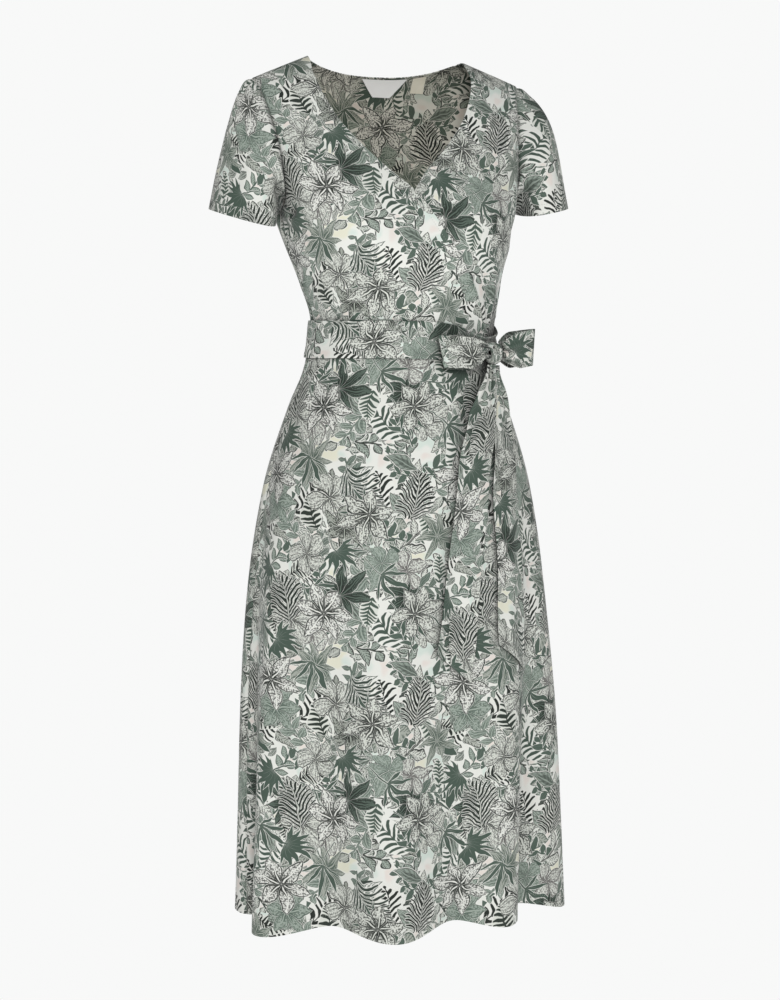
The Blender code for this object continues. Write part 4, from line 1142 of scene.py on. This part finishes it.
# ---------------------------------------------------------------- stitches
def thread_material():
    """Polyester thread: its twist shows as fine bands across each stitch."""
    made, tree, shader = new_material("sewing_thread", {"Roughness": 0.45})
    place = Wire(lay("ShaderNodeTexCoord", (), tree).outputs["Object"])
    twist = lay("ShaderNodeTexWave", {"Vector": place, "Scale": 700.0, "Distortion": 1.5},
                bands_direction="DIAGONAL")
    band = Wire(twist.outputs["Fac"])
    put(mix(band, ink(150, 158, 150), ink(206, 208, 200)), shader.inputs["Base Color"])
    raise_surface(shader, band, strength=0.4, distance=0.00008)
    return made


THREAD = thread_material()


def one_stitch():
    """One stitch, with rounded ends that dip into the cloth, along X and outwards on Z."""
    bpy.ops.object.select_all(action="DESELECT")
    bpy.ops.mesh.primitive_uv_sphere_add(segments=6, ring_count=6, radius=0.5)
    made = bpy.context.object
    bpy.ops.object.mode_set(mode="EDIT")
    bpy.ops.mesh.select_all(action="SELECT")
    bpy.ops.transform.rotate(value=np.pi / 2, orient_axis="Y", center_override=(0.0, 0.0, 0.0))
    bpy.ops.transform.resize(value=(STITCH["long"], STITCH["thick"], STITCH["thick"]))
    bpy.ops.object.mode_set(mode="OBJECT")
    for corner in made.data.vertices:
        corner.co.z -= STITCH["dip"] * (2 * corner.co.x / STITCH["long"]) ** 2
    made.data.shade_smooth()
    made.data.materials.append(THREAD)
    stitch = made.data
    bpy.data.objects.remove(made)
    return stitch


ONE_STITCH = one_stitch()


def seam_line(middle, out, distance, axis=0):
    """(points, outward directions) at a distance in from a grid's last row or column."""
    back = steps_back(middle, axis)
    if axis == 1:
        middle, out, back = (each.swapaxes(0, 1) for each in (middle, out, back))
    return [
        np.array([
            [np.interp(-distance, -back[:, line], grid[:, line, k]) for k in range(3)]
            for line in range(back.shape[1])
        ])
        for grid in (middle, out)
    ]


def sew(name, points, out, thick=CLOTH):
    """A row of stitches along points on a sheet's middle: each is a copy of the one stitch."""
    run = np.concatenate([[0.0], np.cumsum(np.linalg.norm(np.diff(points, axis=0), axis=1))])
    count = round(run[-1] / STITCH["pitch"])
    places = (np.arange(count) + 0.5) * run[-1] / count
    at, up = (
        np.stack([np.interp(places, run, each[:, k]) for k in range(3)], axis=1)
        for each in (points, out)
    )
    row = bmesh.new()
    for here, way, outward in zip(at, np.gradient(at, axis=0), up):
        ahead = Vector(way).normalized()
        side = Vector(outward).cross(ahead).normalized()
        turned = Matrix((ahead, side, ahead.cross(side))).transposed().to_4x4()
        turned.translation = Vector(here) + Vector(outward) * (thick / 2 - STITCH["sunk"])
        stitch = ONE_STITCH.copy()
        stitch.transform(turned)
        row.from_mesh(stitch)
        bpy.data.meshes.remove(stitch)
    made = bpy.data.objects.new(name, bpy.data.meshes.new(name))
    row.to_mesh(made.data)
    row.free()
    made.data.materials.append(THREAD)
    bpy.context.scene.collection.objects.link(made)
    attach(made, "root")
    return made


# ---------------------------------------------------------------- bodice
def armhole(share, scoop):
    """(turn, drop) along one half of an armhole, share 0 at the underarm and 1
    at the shoulder tip. turn is counted from the side seam."""
    drop = ARMHOLE_DROP * np.cos(np.pi * share / 2) ** 2
    turn = scoop * np.sin(np.pi * share) + ARMHOLE_TIP_TURN * np.clip(2 * share - 1, 0, 1) ** 2
    return turn, np.maximum(drop, SHOULDER_DROP)


# Rows from the waist up to the underarm, and from there up to the shoulder.
LOWER = 1 - (1 - np.arange(LINES["below_underarm"]) / LINES["below_underarm"]) ** CLOSER_UP
UPPER = np.linspace(0, 1, LINES["above_underarm"])


def bodice_side(scoop):
    """(turn, drop) of a bodice piece's side: up the side seam, then round the armhole."""
    turn, drop = armhole(UPPER, scoop)
    lower = WAIST_DROP + (ARMHOLE_DROP - WAIST_DROP) * LOWER
    return np.concatenate([0 * lower, turn]), np.concatenate([lower, drop])


def turn_at(x, drop):
    """Turn of the place on the front of the form with this x."""
    across = (x - read(FORM, "move_x", drop)) / read(FORM, "half", drop)
    return 0.25 + np.arcsin(np.clip(across, -1, 1)) / (2 * np.pi)


def front_edge(which):
    """(turn, drop) of a front's free edge, from the waist up past the V to the neck point."""
    lower = WAIST_DROP + (V_DROP - WAIST_DROP) * LOWER
    upper = V_DROP * np.cos(np.pi * UPPER / 2) ** 2
    drop = np.concatenate([lower, np.maximum(upper, SHOULDER_DROP)])
    return turn_at(read(FRONT_EDGES, which, drop), drop), drop


def bodice_front(which, on_top, cut_at):
    """A front bodice. The right one wraps on top of the left one."""
    name = "bodice_front_" + which
    side_turn, side_drop = bodice_side(ARMHOLE_FRONT_SCOOP)
    if not on_top:
        side_turn = LEFT_SIDE_TURN - side_turn
    free_turn, free_drop = front_edge(which)
    share = even(ROUGH_LINES["front"])
    rough, _ = surface(between(side_turn, free_turn, share), between(side_drop, free_drop, share))
    share = shares(steps(rough, 1)[:, -1], LINES["front"], start=SEAM_STRIP, end=HEM_STRIP)
    turn, drop = between(side_turn, free_turn, share), between(side_drop, free_drop, share)
    middle, out = surface(turn, drop, wrap_lift(turn, drop) if on_top else 0.0)
    uv = grain(turn, drop, 0.25, cut_at)
    from_side = steps(middle, 1)
    dip = seam_dip(from_side) + seam_dip(steps_back(middle, 0))
    dip = dip + underarm_dip(from_side, side_drop[:, None])
    middle = middle + out * dip[..., None]
    turned, groove = turned_edge(steps_back(middle, 1), EDGE_TURNED)
    piece = shell(name, middle, out, uv, outer=-groove, inner=turned - groove)
    line = seam_line(middle, out, EDGE_TURNED - STITCHED_IN, axis=1)
    wear(piece, name, "hung", sewn=[sew(name + "_edge_stitches", *line)])


def back_neck_drop(x):
    return BACK_NECK_DROP * (1 - np.clip(np.abs(x) / NECK_HALF_WIDTH, 0, 1) ** BACK_NECK_ROUND)


def bodice_back():
    """The back bodice, from the left side seam round the back to the right one."""
    side_turn, side_drop = bodice_side(ARMHOLE_BACK_SCOOP)
    left_neck = 1.0 - turn_at(NECK_HALF_WIDTH, SHOULDER_DROP) + 0 * side_drop
    right_neck = 1.0 - turn_at(-NECK_HALF_WIDTH, SHOULDER_DROP) + 0 * side_drop
    share = even(ROUGH_LINES["beside_neck"])
    rough, _ = surface(between(LEFT_SIDE_TURN + side_turn, left_neck, share), side_drop[:, None])
    beside = shares(steps(rough, 1)[:, -1], LINES["beside_neck"], start=SEAM_STRIP)
    turn = np.concatenate([
        between(LEFT_SIDE_TURN + side_turn, left_neck, beside),
        between(left_neck, right_neck, even(LINES["back_neck"])[:, 1:]),
        between(right_neck, 1.0 - side_turn, 1 - beside[:, ::-1])[:, 1:],
    ], axis=1)
    share = np.clip(1 - side_drop / WAIST_DROP, 0, 1)
    top_drop = back_neck_drop(form(turn[-1], np.full(turn.shape[1], 1e-3))[:, 0])
    drop = side_drop[:, None] + np.maximum(top_drop, 0)[None, :] * share[:, None] ** 2
    middle, out = surface(turn, drop)
    uv = grain(turn, drop, 0.75, (0.112, 0.031))
    in_neck = ease(top_drop, 0.0, 0.003)[None, :]
    sides = 0
    for distance in (steps(middle, 1), steps_back(middle, 1)):
        sides = sides + seam_dip(distance) + underarm_dip(distance, side_drop[:, None])
    middle = middle + out * (sides + seam_dip(steps_back(middle, 0)) * (1 - in_neck))[..., None]
    turned, groove = turned_edge(steps_back(middle, 0), EDGE_TURNED)
    piece = shell("bodice_back", middle, out, uv, outer=-groove * in_neck, inner=(turned - groove) * in_neck)
    line = [each[in_neck[0] > 0.5] for each in seam_line(middle, out, EDGE_TURNED - STITCHED_IN)]
    wear(piece, "bodice_back", "hung", sewn=[sew("bodice_back_neck_stitches", *line)])


# ---------------------------------------------------------------- sleeves
def sleeve(name, sizes):
    """A short set-in sleeve, from the armhole to its open cuff. Its columns run all the
    way round, from the underarm and back to it."""
    side = sizes["side"]
    columns = LINES["sleeve_round"]
    around = (np.arange(columns) / columns + 0.5) % 1.0
    in_front = around < 0.5
    share = np.where(in_front, 1 - 2 * around, 2 * around - 1)
    front_turn, drop = armhole(share, ARMHOLE_FRONT_SCOOP)
    back_turn, _ = armhole(share, ARMHOLE_BACK_SCOOP)
    turn = np.where(in_front, front_turn, -back_turn)
    if side > 0:
        turn = LEFT_SIDE_TURN - turn
    begin, _ = surface(turn, drop, seam_dip(0.0) + underarm_dip(0.0, drop))
    angle = 2 * np.pi * around
    high, ahead = np.cos(angle), np.sin(angle)
    leave = np.stack([
        side * SLEEVE_WAY["out"] + 0 * high,
        -SLEEVE_WAY["ahead"] * ahead,
        -SLEEVE_WAY["down"] - SLEEVE_WAY["under"] * (1 - high) / 2,
    ], axis=-1)
    leave /= np.linalg.norm(leave, axis=-1, keepdims=True)
    tilt, turned = np.radians(sizes["tilt"]), np.radians(CUFF_TURNED)
    axis = np.array([side * np.sin(tilt), 0, -np.cos(tilt)])
    outward = np.array([side * np.cos(tilt), 0, np.sin(tilt)])
    forward = np.array([0.0, -1.0, 0.0])
    thick = sizes["half_thick"] * high
    deep = sizes["half_deep"] * ahead
    across = thick * np.cos(turned) - deep * np.sin(turned)
    along = thick * np.sin(turned) + deep * np.cos(turned)
    centre = np.array([side * sizes["cuff_x"], sizes["cuff_y"], sizes["cuff_z"]])
    lower = sizes["lower_in_front"] * along / sizes["half_deep"] - CUFF_RAISED * ((1 - high) / 2) ** 5
    end = centre + across[:, None] * outward + along[:, None] * forward + lower[:, None] * axis
    reach_out = (UNDERARM_HEAD + (sizes["head"] - UNDERARM_HEAD) * (1 + high) / 2)[:, None]
    reach_in = (CUFF_STRAIGHT["mean"] + CUFF_STRAIGHT["more_outside"] * high)[:, None]
    t = np.linspace(0, 1, ROUGH_LINES["sleeve"])[:, None, None]
    dense = (
        begin * (1 - t) ** 3
        + (begin + leave * reach_out) * 3 * t * (1 - t) ** 2
        + (end - axis * reach_in) * 3 * t ** 2 * (1 - t)
        + end * t ** 3
    )
    run = steps(dense, 0)
    place = shares(run[-1], LINES["sleeve_down"], start=SEAM_STRIP, end=WIDE_HEM_STRIP).T * run[-1]
    middle = np.stack([
        np.stack([np.interp(place[:, c], run[:, c], dense[:, c, k]) for c in range(columns)], axis=1)
        for k in range(3)
    ], axis=-1)
    out = facing(grid_normals(middle, closed=True), middle - middle.mean(axis=1, keepdims=True))
    round_ = (np.arange(columns) / columns)[None, :] + 0 * place
    down = place / run[-1][None, :]
    stand = SLEEVE_HEAD["high"] * ease(place, *SLEEVE_HEAD["rises"])
    stand = stand * (1 - ease(place, *SLEEVE_HEAD["falls"]))
    for line in SLEEVE_CREASES:
        stand = stand + crease(round_, down, line, SLEEVE_MEASURE)
    middle = middle + out * stand[..., None]
    out = facing(grid_normals(middle, closed=True), out)
    from_cuff = run[-1][None, :] - place
    fold, groove = turned_edge(from_cuff, HEM_TURNED)
    wrapped = np.concatenate([middle, middle[:, :1]], axis=1)
    cuff = steps(wrapped, 1)[-1]
    uv = np.stack([
        cuff - cuff[columns // 2] + 0 * wrapped[..., 0],
        -steps_back(wrapped, 0),
    ], axis=-1) + sizes["cut_at"]
    piece = shell(name, middle, out, uv, outer=-groove, inner=fold - groove, closed=True)
    line = [np.concatenate([each, each[:1]]) for each in seam_line(middle, out, HEM_TURNED - STITCHED_IN)]
    wear(piece, name, "hung", sewn=[sew(name + "_cuff_stitches", *line)])


# ---------------------------------------------------------------- skirt
def hem_drop(turn):
    return HEM_DROP + smooth_curve(HEM_WAVE["turn"], HEM_WAVE["extra"], turn % 1.0)


def skirt_piece(name, first, last, columns, straight, cut_at, start=False, end=False, lift=None):
    """A skirt panel between two edges, each a function from drop to turn. start and
    end say whether each edge is a free, turned one."""
    share = shares(HEM_DROP - WAIST_DROP, LINES["skirt_down"], end=WIDE_HEM_STRIP)[0]
    drop = WAIST_DROP + (HEM_DROP - WAIST_DROP) * share
    edge_one, edge_two = first(drop), last(drop)
    rough, _ = surface(between(edge_one, edge_two, even(ROUGH_LINES["skirt"])), drop[:, None])
    place = shares(steps(rough, 1)[:, -1], columns, HEM_STRIP if start else SEAM_STRIP,
                   HEM_STRIP if end else SEAM_STRIP)
    turn = between(edge_one, edge_two, place)
    hem = hem_drop(turn[-1])
    drop = drop[:, None] + (hem - HEM_DROP)[None, :] * share[:, None] ** 2
    middle, out = surface(turn, drop, lift(turn, drop) if lift else 0.0)
    uv = grain(turn, drop, straight, cut_at)
    near, far = steps(middle, 1), steps_back(middle, 1)
    dip = (0 if start else seam_dip(near)) + (0 if end else seam_dip(far))
    middle = middle + out * np.broadcast_to(dip, near.shape)[..., None]
    fold, groove = turned_edge(steps_back(middle, 0), HEM_TURNED)
    sewn = [sew(name + "_hem_stitches", *seam_line(middle, out, HEM_TURNED - STITCHED_IN))]
    for free, distance, way in ((start, near, -1), (end, far, 1)):
        if free:
            more, line = turned_edge(distance, EDGE_TURNED)
            fold, groove = np.maximum(fold, more), np.maximum(groove, line)
            edge = seam_line(middle[:, ::way], out[:, ::way], EDGE_TURNED - STITCHED_IN, axis=1)
            sewn.append(sew(name + "_edge_stitches", *edge))
    piece = shell(name, middle, out, uv, outer=-groove, inner=fold - groove)
    wear(piece, name, "hung", sewn=sewn)


def skirt():
    def straight_down(turn):
        return lambda drop: turn + 0 * drop

    def free_edge(turns):
        return lambda drop: smooth_curve(SKIRT_EDGE_DROPS, turns, drop)

    skirt_piece("skirt_front_right", straight_down(0.0), free_edge(TOP_SKIRT_EDGE), LINES["skirt_front"],
                straight=0.22, cut_at=(0.015, 0.087), end=True, lift=wrap_lift)
    skirt_piece("skirt_front_left", free_edge(UNDER_SKIRT_EDGE), straight_down(LEFT_SIDE_TURN),
                LINES["skirt_front"], straight=0.30, cut_at=(0.139, 0.180), start=True)
    skirt_piece("skirt_back", straight_down(LEFT_SIDE_TURN), straight_down(1.0), LINES["skirt_back"],
                straight=0.75, cut_at=(0.201, 0.036))


# ---------------------------------------------------------------- belt and bow
def belt_band():
    """The belt, all round the waist, its two ends meeting behind the knot."""
    turn = np.linspace(KNOT["turn"] + BELT_END, KNOT["turn"] + 1 - BELT_END, LINES["belt_round"])
    drop = BELT_TOP + (BELT_BOTTOM - BELT_TOP) * np.linspace(0, 1, LINES["belt_across"])
    turn, drop = np.meshgrid(turn, drop)
    here = turn % 1.0
    sag = BELT_SAG * hump(here - KNOT["turn"], BELT_SAG_TURNS)
    share = (drop - BELT_TOP) / (BELT_BOTTOM - BELT_TOP)
    gathered = hump(turn - KNOT["turn"], BELT_GATHERED["side"])
    gathered = gathered + hump(KNOT["turn"] + 1 - turn, BELT_GATHERED["front"])
    narrow = 1 - (1 - BELT_GATHERED["left"]) * gathered
    place = (BELT_TOP + BELT_BOTTOM) / 2 + (share - 0.5) * (BELT_BOTTOM - BELT_TOP) * narrow
    middle, out = surface(here, place + sag, belt_lift(here))
    uv = np.stack([drop - BELT_TOP, steps(middle, 1)[:1] + 0 * drop], axis=-1) + (0.203, 0.031)
    pleats = BELT_PLEATS["high"] * gathered
    pleats = pleats * np.sin(2 * np.pi * (BELT_PLEATS["count"] * share + BELT_PLEATS["shift"]))
    slanting = BELT_WAVES["across"] * share + BELT_WAVES["round"] * here
    waves = BELT_WAVES["high"] * np.sin(2 * np.pi * slanting)
    waves = waves * np.sin(2 * np.pi * (BELT_WAVES["beat"] * here + BELT_WAVES["shift"])) ** 2
    rolled = -BELT_ROLLED["deep"] * (hump(share, BELT_ROLLED["wide"]) + hump(1 - share, BELT_ROLLED["wide"]))
    middle = middle + out * (np.maximum(pleats + waves, BELT_DEEPEST) + BELT_FULL + rolled)[..., None]
    piece = shell("belt_band", middle, out, uv, thick=BELT_CLOTH)
    wear(piece, "belt_band", "gathered", cloth=(CREPE, CREPE))


def knot_frame():
    """Centre of the knot and its three directions: along the belt towards the
    back, up, and out."""
    lift = belt_lift(KNOT["turn"]) + KNOT["half_deep"] + KNOT_BASE
    centre, out = surface(KNOT["turn"], KNOT["drop"], lift)
    ahead, _ = surface(KNOT["turn"] + KNOT_AHEAD, KNOT["drop"], lift)
    along = ahead - centre
    along /= np.linalg.norm(along)
    up = np.cross(out, along)
    return centre, along, up, out


def bow_knot():
    """The knot: the belt gathered and wrapped once over the middle of the bow, its two
    edges rolled in towards the loops."""
    centre, along, up, out = knot_frame()
    round_ = 2 * np.pi * np.arange(LINES["knot_round"]) / LINES["knot_round"]
    across = even(LINES["knot_across"], -KNOT_FORM["runs_to"], KNOT_FORM["runs_to"]).T
    quarter = np.pi / 2 * np.clip(np.abs(across) / KNOT_FORM["rounded_at"], 0, 1) ** KNOT_FORM["blunt"]
    bulge = np.cos(quarter) ** 0.5
    inside = ease(np.abs(across), KNOT_FORM["tucks_from"], KNOT_FORM["runs_to"])
    size = np.clip(KNOT_SIZE["flat"] + (1 - KNOT_SIZE["flat"]) * bulge, KNOT_SIZE["least"], 1)
    size = size * (1 - KNOT_SIZE["tucked_down"] * inside)
    place = np.clip(across, -1, 1) * (1 - KNOT_SIZE["tucked_back"] * inside)
    wave = KNOT_PLEATS["count"] * across + KNOT_PLEATS["wander"] * np.sin(round_) + KNOT_PLEATS["shift"]
    pleats = KNOT_PLEATS["high"] * np.cos(2 * np.pi * wave) * (1 - inside)
    lean = KNOT_LEAN["share"] * np.sin(round_ + KNOT_LEAN["from"])
    size = size * (1 + pleats + KNOT_PLEATS["uneven"] * np.cos(3 * round_))
    middle = (
        centre
        + along * (KNOT["half_along"] * (place + lean * (1 - np.abs(place))))[..., None]
        + up * (KNOT["half_high"] * size * np.sin(round_))[..., None]
        + out * (KNOT["half_deep"] * size * np.cos(round_))[..., None]
    )
    normals = facing(grid_normals(middle, closed=True), middle - centre)
    wrapped = np.concatenate([middle, middle[:, :1]], axis=1)
    uv = np.stack([steps(wrapped, 1), steps(wrapped, 0)], axis=-1) + (0.111, 0.064)
    piece = shell("bow_knot", middle, normals, uv, closed=True)
    wear(piece, "bow_knot", "folded", cloth=(CREPE, CREPE))


def gathers(side, seed):
    """Uneven pleats across a gathered width, side from -1 to 1, about 1 high."""
    return sum(
        high * np.cos(2 * np.pi * (count * side + by_seed * seed + shift))
        for high, count, by_seed, shift in GATHERS
    )


def loop_grid(sizes, seed):
    """(along, out, across) for a loop's grid of points: how far from the knot, how
    far out and how far up its width each one lies."""
    share = even(LINES["loop_along"]).T
    side = even(LINES["loop_across"], -1)
    along = sizes["length"] * (1 - np.cos(2 * np.pi * share)) / 2
    open_ = ease(along, sizes["opens"] * sizes["length"], sizes["opened"] * sizes["length"])
    half = sizes["pinched"] + (LOOP_HALF_WIDTH - sizes["pinched"]) * open_
    pleats = LOOP_PLEATS["high"] * gathers(side, seed) * (1 - ease(along, 0.0, LOOP_PLEATS["to"]))
    out = sizes["open"] * np.sin(2 * np.pi * share) + LOOP_END_SPACE * np.cos(np.pi * share) + pleats
    return along + 0 * side, out, half * side


def loop_piece(name, middle, rests_on, cut_at):
    out = facing(grid_normals(middle), middle - middle.mean(axis=(0, 1)))
    piece = shell(name, middle, out, strip_grain(middle, cut_at), thick=BELT_CLOTH)
    wear(piece, name, "gathered", [rests_on], cloth=(CREPE, CREPE))


def loop_run(sizes, seed):
    """(reach, out, across, along) for a loop, where reach is along counted from the knot's
    middle and slanted at the loop's end."""
    along, out, across = loop_grid(sizes, seed)
    slant = sizes["slant"] * across / LOOP_HALF_WIDTH * ease(along, 0.0, sizes["length"])
    return along + (KNOT["half_along"] + sizes["from_knot"]) + slant, out, across, along


def bow_loop_front():
    """The loop that lies across the front of the skirt."""
    reach, out, across, along = loop_run(FRONT_LOOP, 1)
    beside_knot = KNOT["turn"] - 0.05
    turn = KNOT["turn"] - reach / metres_per_turn(beside_knot, WAIST_DROP)
    drop = KNOT["drop"] - FRONT_LOOP["raised"] - FRONT_LOOP["rise"] * along + across
    clear = BELT_LIFT + WRAP_LIFT + LOOP_CLEAR + FRONT_LOOP["open"] + FRONT_LOOP["clear"]
    middle, _ = surface(turn, drop, clear + out)
    loop_piece("bow_loop_front", middle, "belt_band", (0.225, 0.009))


def bow_loop_side():
    """The loop that stands out past the waist at the wearer's left."""
    centre, _, _, _ = knot_frame()
    away = np.array(SIDE_LOOP["away"])
    away /= np.linalg.norm(away)
    sideways = np.cross(away, (0.0, 0.0, 1.0))
    sideways /= np.linalg.norm(sideways)
    up = np.cross(sideways, away)
    reach, out, across, _ = loop_run(SIDE_LOOP, 4)
    middle = centre + reach[..., None] * away + out[..., None] * sideways + across[..., None] * up
    loop_piece("bow_loop_side", middle, "bow_knot", (0.189, 0.075))


def belt_tail(name, line, seed, cut_at):
    """A free end of the belt that hangs down the skirt, its end cut on the slant."""
    first, last = line["drop"][0], line["drop"][-1]
    share = np.linspace(0, 1, LINES["tail_along"])
    drop = first + (last - first) * share
    turn = smooth_curve(line["drop"], line["turn"], drop)
    lift = smooth_curve(line["drop"], line["lift"], drop)
    open_ = ease(drop - first, *TAIL_OPENS)
    half = (TAIL_PINCHED + (TAIL_HALF_WIDTH - TAIL_PINCHED) * open_) / metres_per_turn(turn, drop)
    across = even(LINES["tail_across"], -1)
    last_third = np.clip(share * 3 - 2, 0, 1)[:, None]
    turns = turn[:, None] + half[:, None] * across
    drops = drop[:, None] + TAIL_SLANT * across * last_third
    run = (drop - first)[:, None]
    pleats = TAIL_PLEATS["high"] * gathers(across, seed) * hump(run, TAIL_PLEATS["run"])
    sway = TAIL_FOLD["sway"] * np.sin(TAIL_FOLD["turns"] * run + seed)
    fold = TAIL_FOLD["high"] * np.cos(np.pi * (across + sway)) * ease(run, *TAIL_FOLD["over"])
    curl = TAIL_CURL["high"] * hump(across + 1, TAIL_CURL["wide"]) * ease(run, *TAIL_CURL["over"])
    middle, out = surface(turns, drops, lift[:, None] + pleats + fold + curl)
    out = facing(grid_normals(middle), out)
    piece = shell(name, middle, out, strip_grain(middle, cut_at), thick=BELT_CLOTH)
    wear(piece, name, "hung", ["skirt_front_right"], cloth=(CREPE, CREPE))


# ---------------------------------------------------------------- labels
def label(name, sizes, material):
    """A blank label sewn flat on the inside of the back, below the neck edge."""
    share = even(LINES["label_down"]).T
    half = sizes["half_top"] + (sizes["half_bottom"] - sizes["half_top"]) * share
    x = sizes["x"] + half * even(LINES["label_across"], -1)
    top = np.maximum(back_neck_drop(x), 0) + LABEL_BELOW_EDGE
    drop = top + (BACK_NECK_DROP + LABEL_BELOW_EDGE - top + sizes["high"]) * share
    middle, out = surface(1.0 - turn_at(x, drop), drop, LABEL_LIFT)
    uv = np.stack([steps(middle, 1), steps(middle, 0)], axis=-1)
    piece = shell(name, middle, out, uv, thick=LABEL_CLOTH)
    sewn = []
    for side, way in (("left", 1), ("right", -1)):
        line = seam_line(middle[:, ::way], -out[:, ::way], LABEL_STITCHED_IN, axis=1)
        sewn.append(sew(f"{name}_{side}_stitches", *line, thick=LABEL_CLOTH))
    wear(piece, name, "laid", ["bodice_back"], sewn, (material, material), "label_cloth")


bodice_front("right", on_top=True, cut_at=(0.031, 0.118))
bodice_front("left", on_top=False, cut_at=(0.163, 0.047))
bodice_back()
for name, sizes in SLEEVES.items():
    sleeve(name, sizes)
skirt()
belt_band()
bow_knot()
bow_loop_front()
bow_loop_side()
belt_tail("belt_tail_front", FRONT_TAIL, 2, (0.112, 0.064))
belt_tail("belt_tail_side", SIDE_TAIL, 5, (0.203, 0.171))
label("neck_label", LABEL, SATIN)
label("neck_tab", TAB, COTTON)


# ---------------------------------------------------------------- floor, light, camera
PAPER = (0.94, 0.94376, 0.94, 1.0)
FLOOR_SIZE = 16
FLOOR_DROP = 1.62
ROOM_LIGHT = 0.18
LIGHTS_AIM = (0.0, 0.0, -0.5)
CAMERA_PLACE = (-0.8652, -2.6630, -0.35)
CAMERA_AIM = (0.0076, -0.0025, -0.58)
CAMERA_LENS = 76.05

bpy.ops.object.select_all(action="DESELECT")
bpy.ops.mesh.primitive_plane_add(size=FLOOR_SIZE, location=(0, 0, -FLOOR_DROP))
floor = bpy.context.object
floor.name = "floor"
floor.data.materials.append(new_material("floor_paper", {
    "Base Color": (0.0, 0.0, 0.0, 1.0), "Specular IOR Level": 0.0, "Emission Color": PAPER,
    "Emission Strength": 1.0,
})[0])

# The camera sees plain paper, and the dress is lit by an even, dim room.
world = bpy.data.worlds.new("studio")
bpy.context.scene.world = world
world.use_nodes = True
world.node_tree.nodes.clear()
studio = world.node_tree
room = lay("ShaderNodeBackground", {"Color": (1.0, 1.0, 1.0, 1.0), "Strength": ROOM_LIGHT}, studio)
paper = lay("ShaderNodeBackground", {"Color": PAPER}, studio)
ray = lay("ShaderNodeLightPath", (), studio)
seen = [Wire(each) for each in (ray.outputs["Is Camera Ray"], room.outputs[0], paper.outputs[0])]
lit = lay("ShaderNodeMixShader", seen)
lay("ShaderNodeOutputWorld", {"Surface": Wire(lit.outputs[0])})


def point(made, place, aim):
    """Puts a lamp or camera in the scene at a place, pointing at another."""
    bpy.context.scene.collection.objects.link(made)
    made.location = place
    made.rotation_euler = (Vector(aim) - Vector(place)).to_track_quat("-Z", "Y").to_euler()


def softbox(name, place, size, watts):
    lamp = bpy.data.lights.new(name, "AREA")
    lamp.shape = "RECTANGLE"
    lamp.size, lamp.size_y, lamp.energy = size, size, watts
    point(bpy.data.objects.new(name, lamp), place, LIGHTS_AIM)


softbox("key_light", (-0.80, -3.15, 0.55), size=1.0, watts=65)
softbox("back_light", (0.9, 3.2, 0.4), size=1.6, watts=42)

camera = bpy.data.objects.new("camera", bpy.data.cameras.new("camera"))
camera.data.lens = CAMERA_LENS
point(camera, CAMERA_PLACE, CAMERA_AIM)
bpy.context.scene.camera = camera
bpy.context.scene.view_settings.view_transform = "Standard"
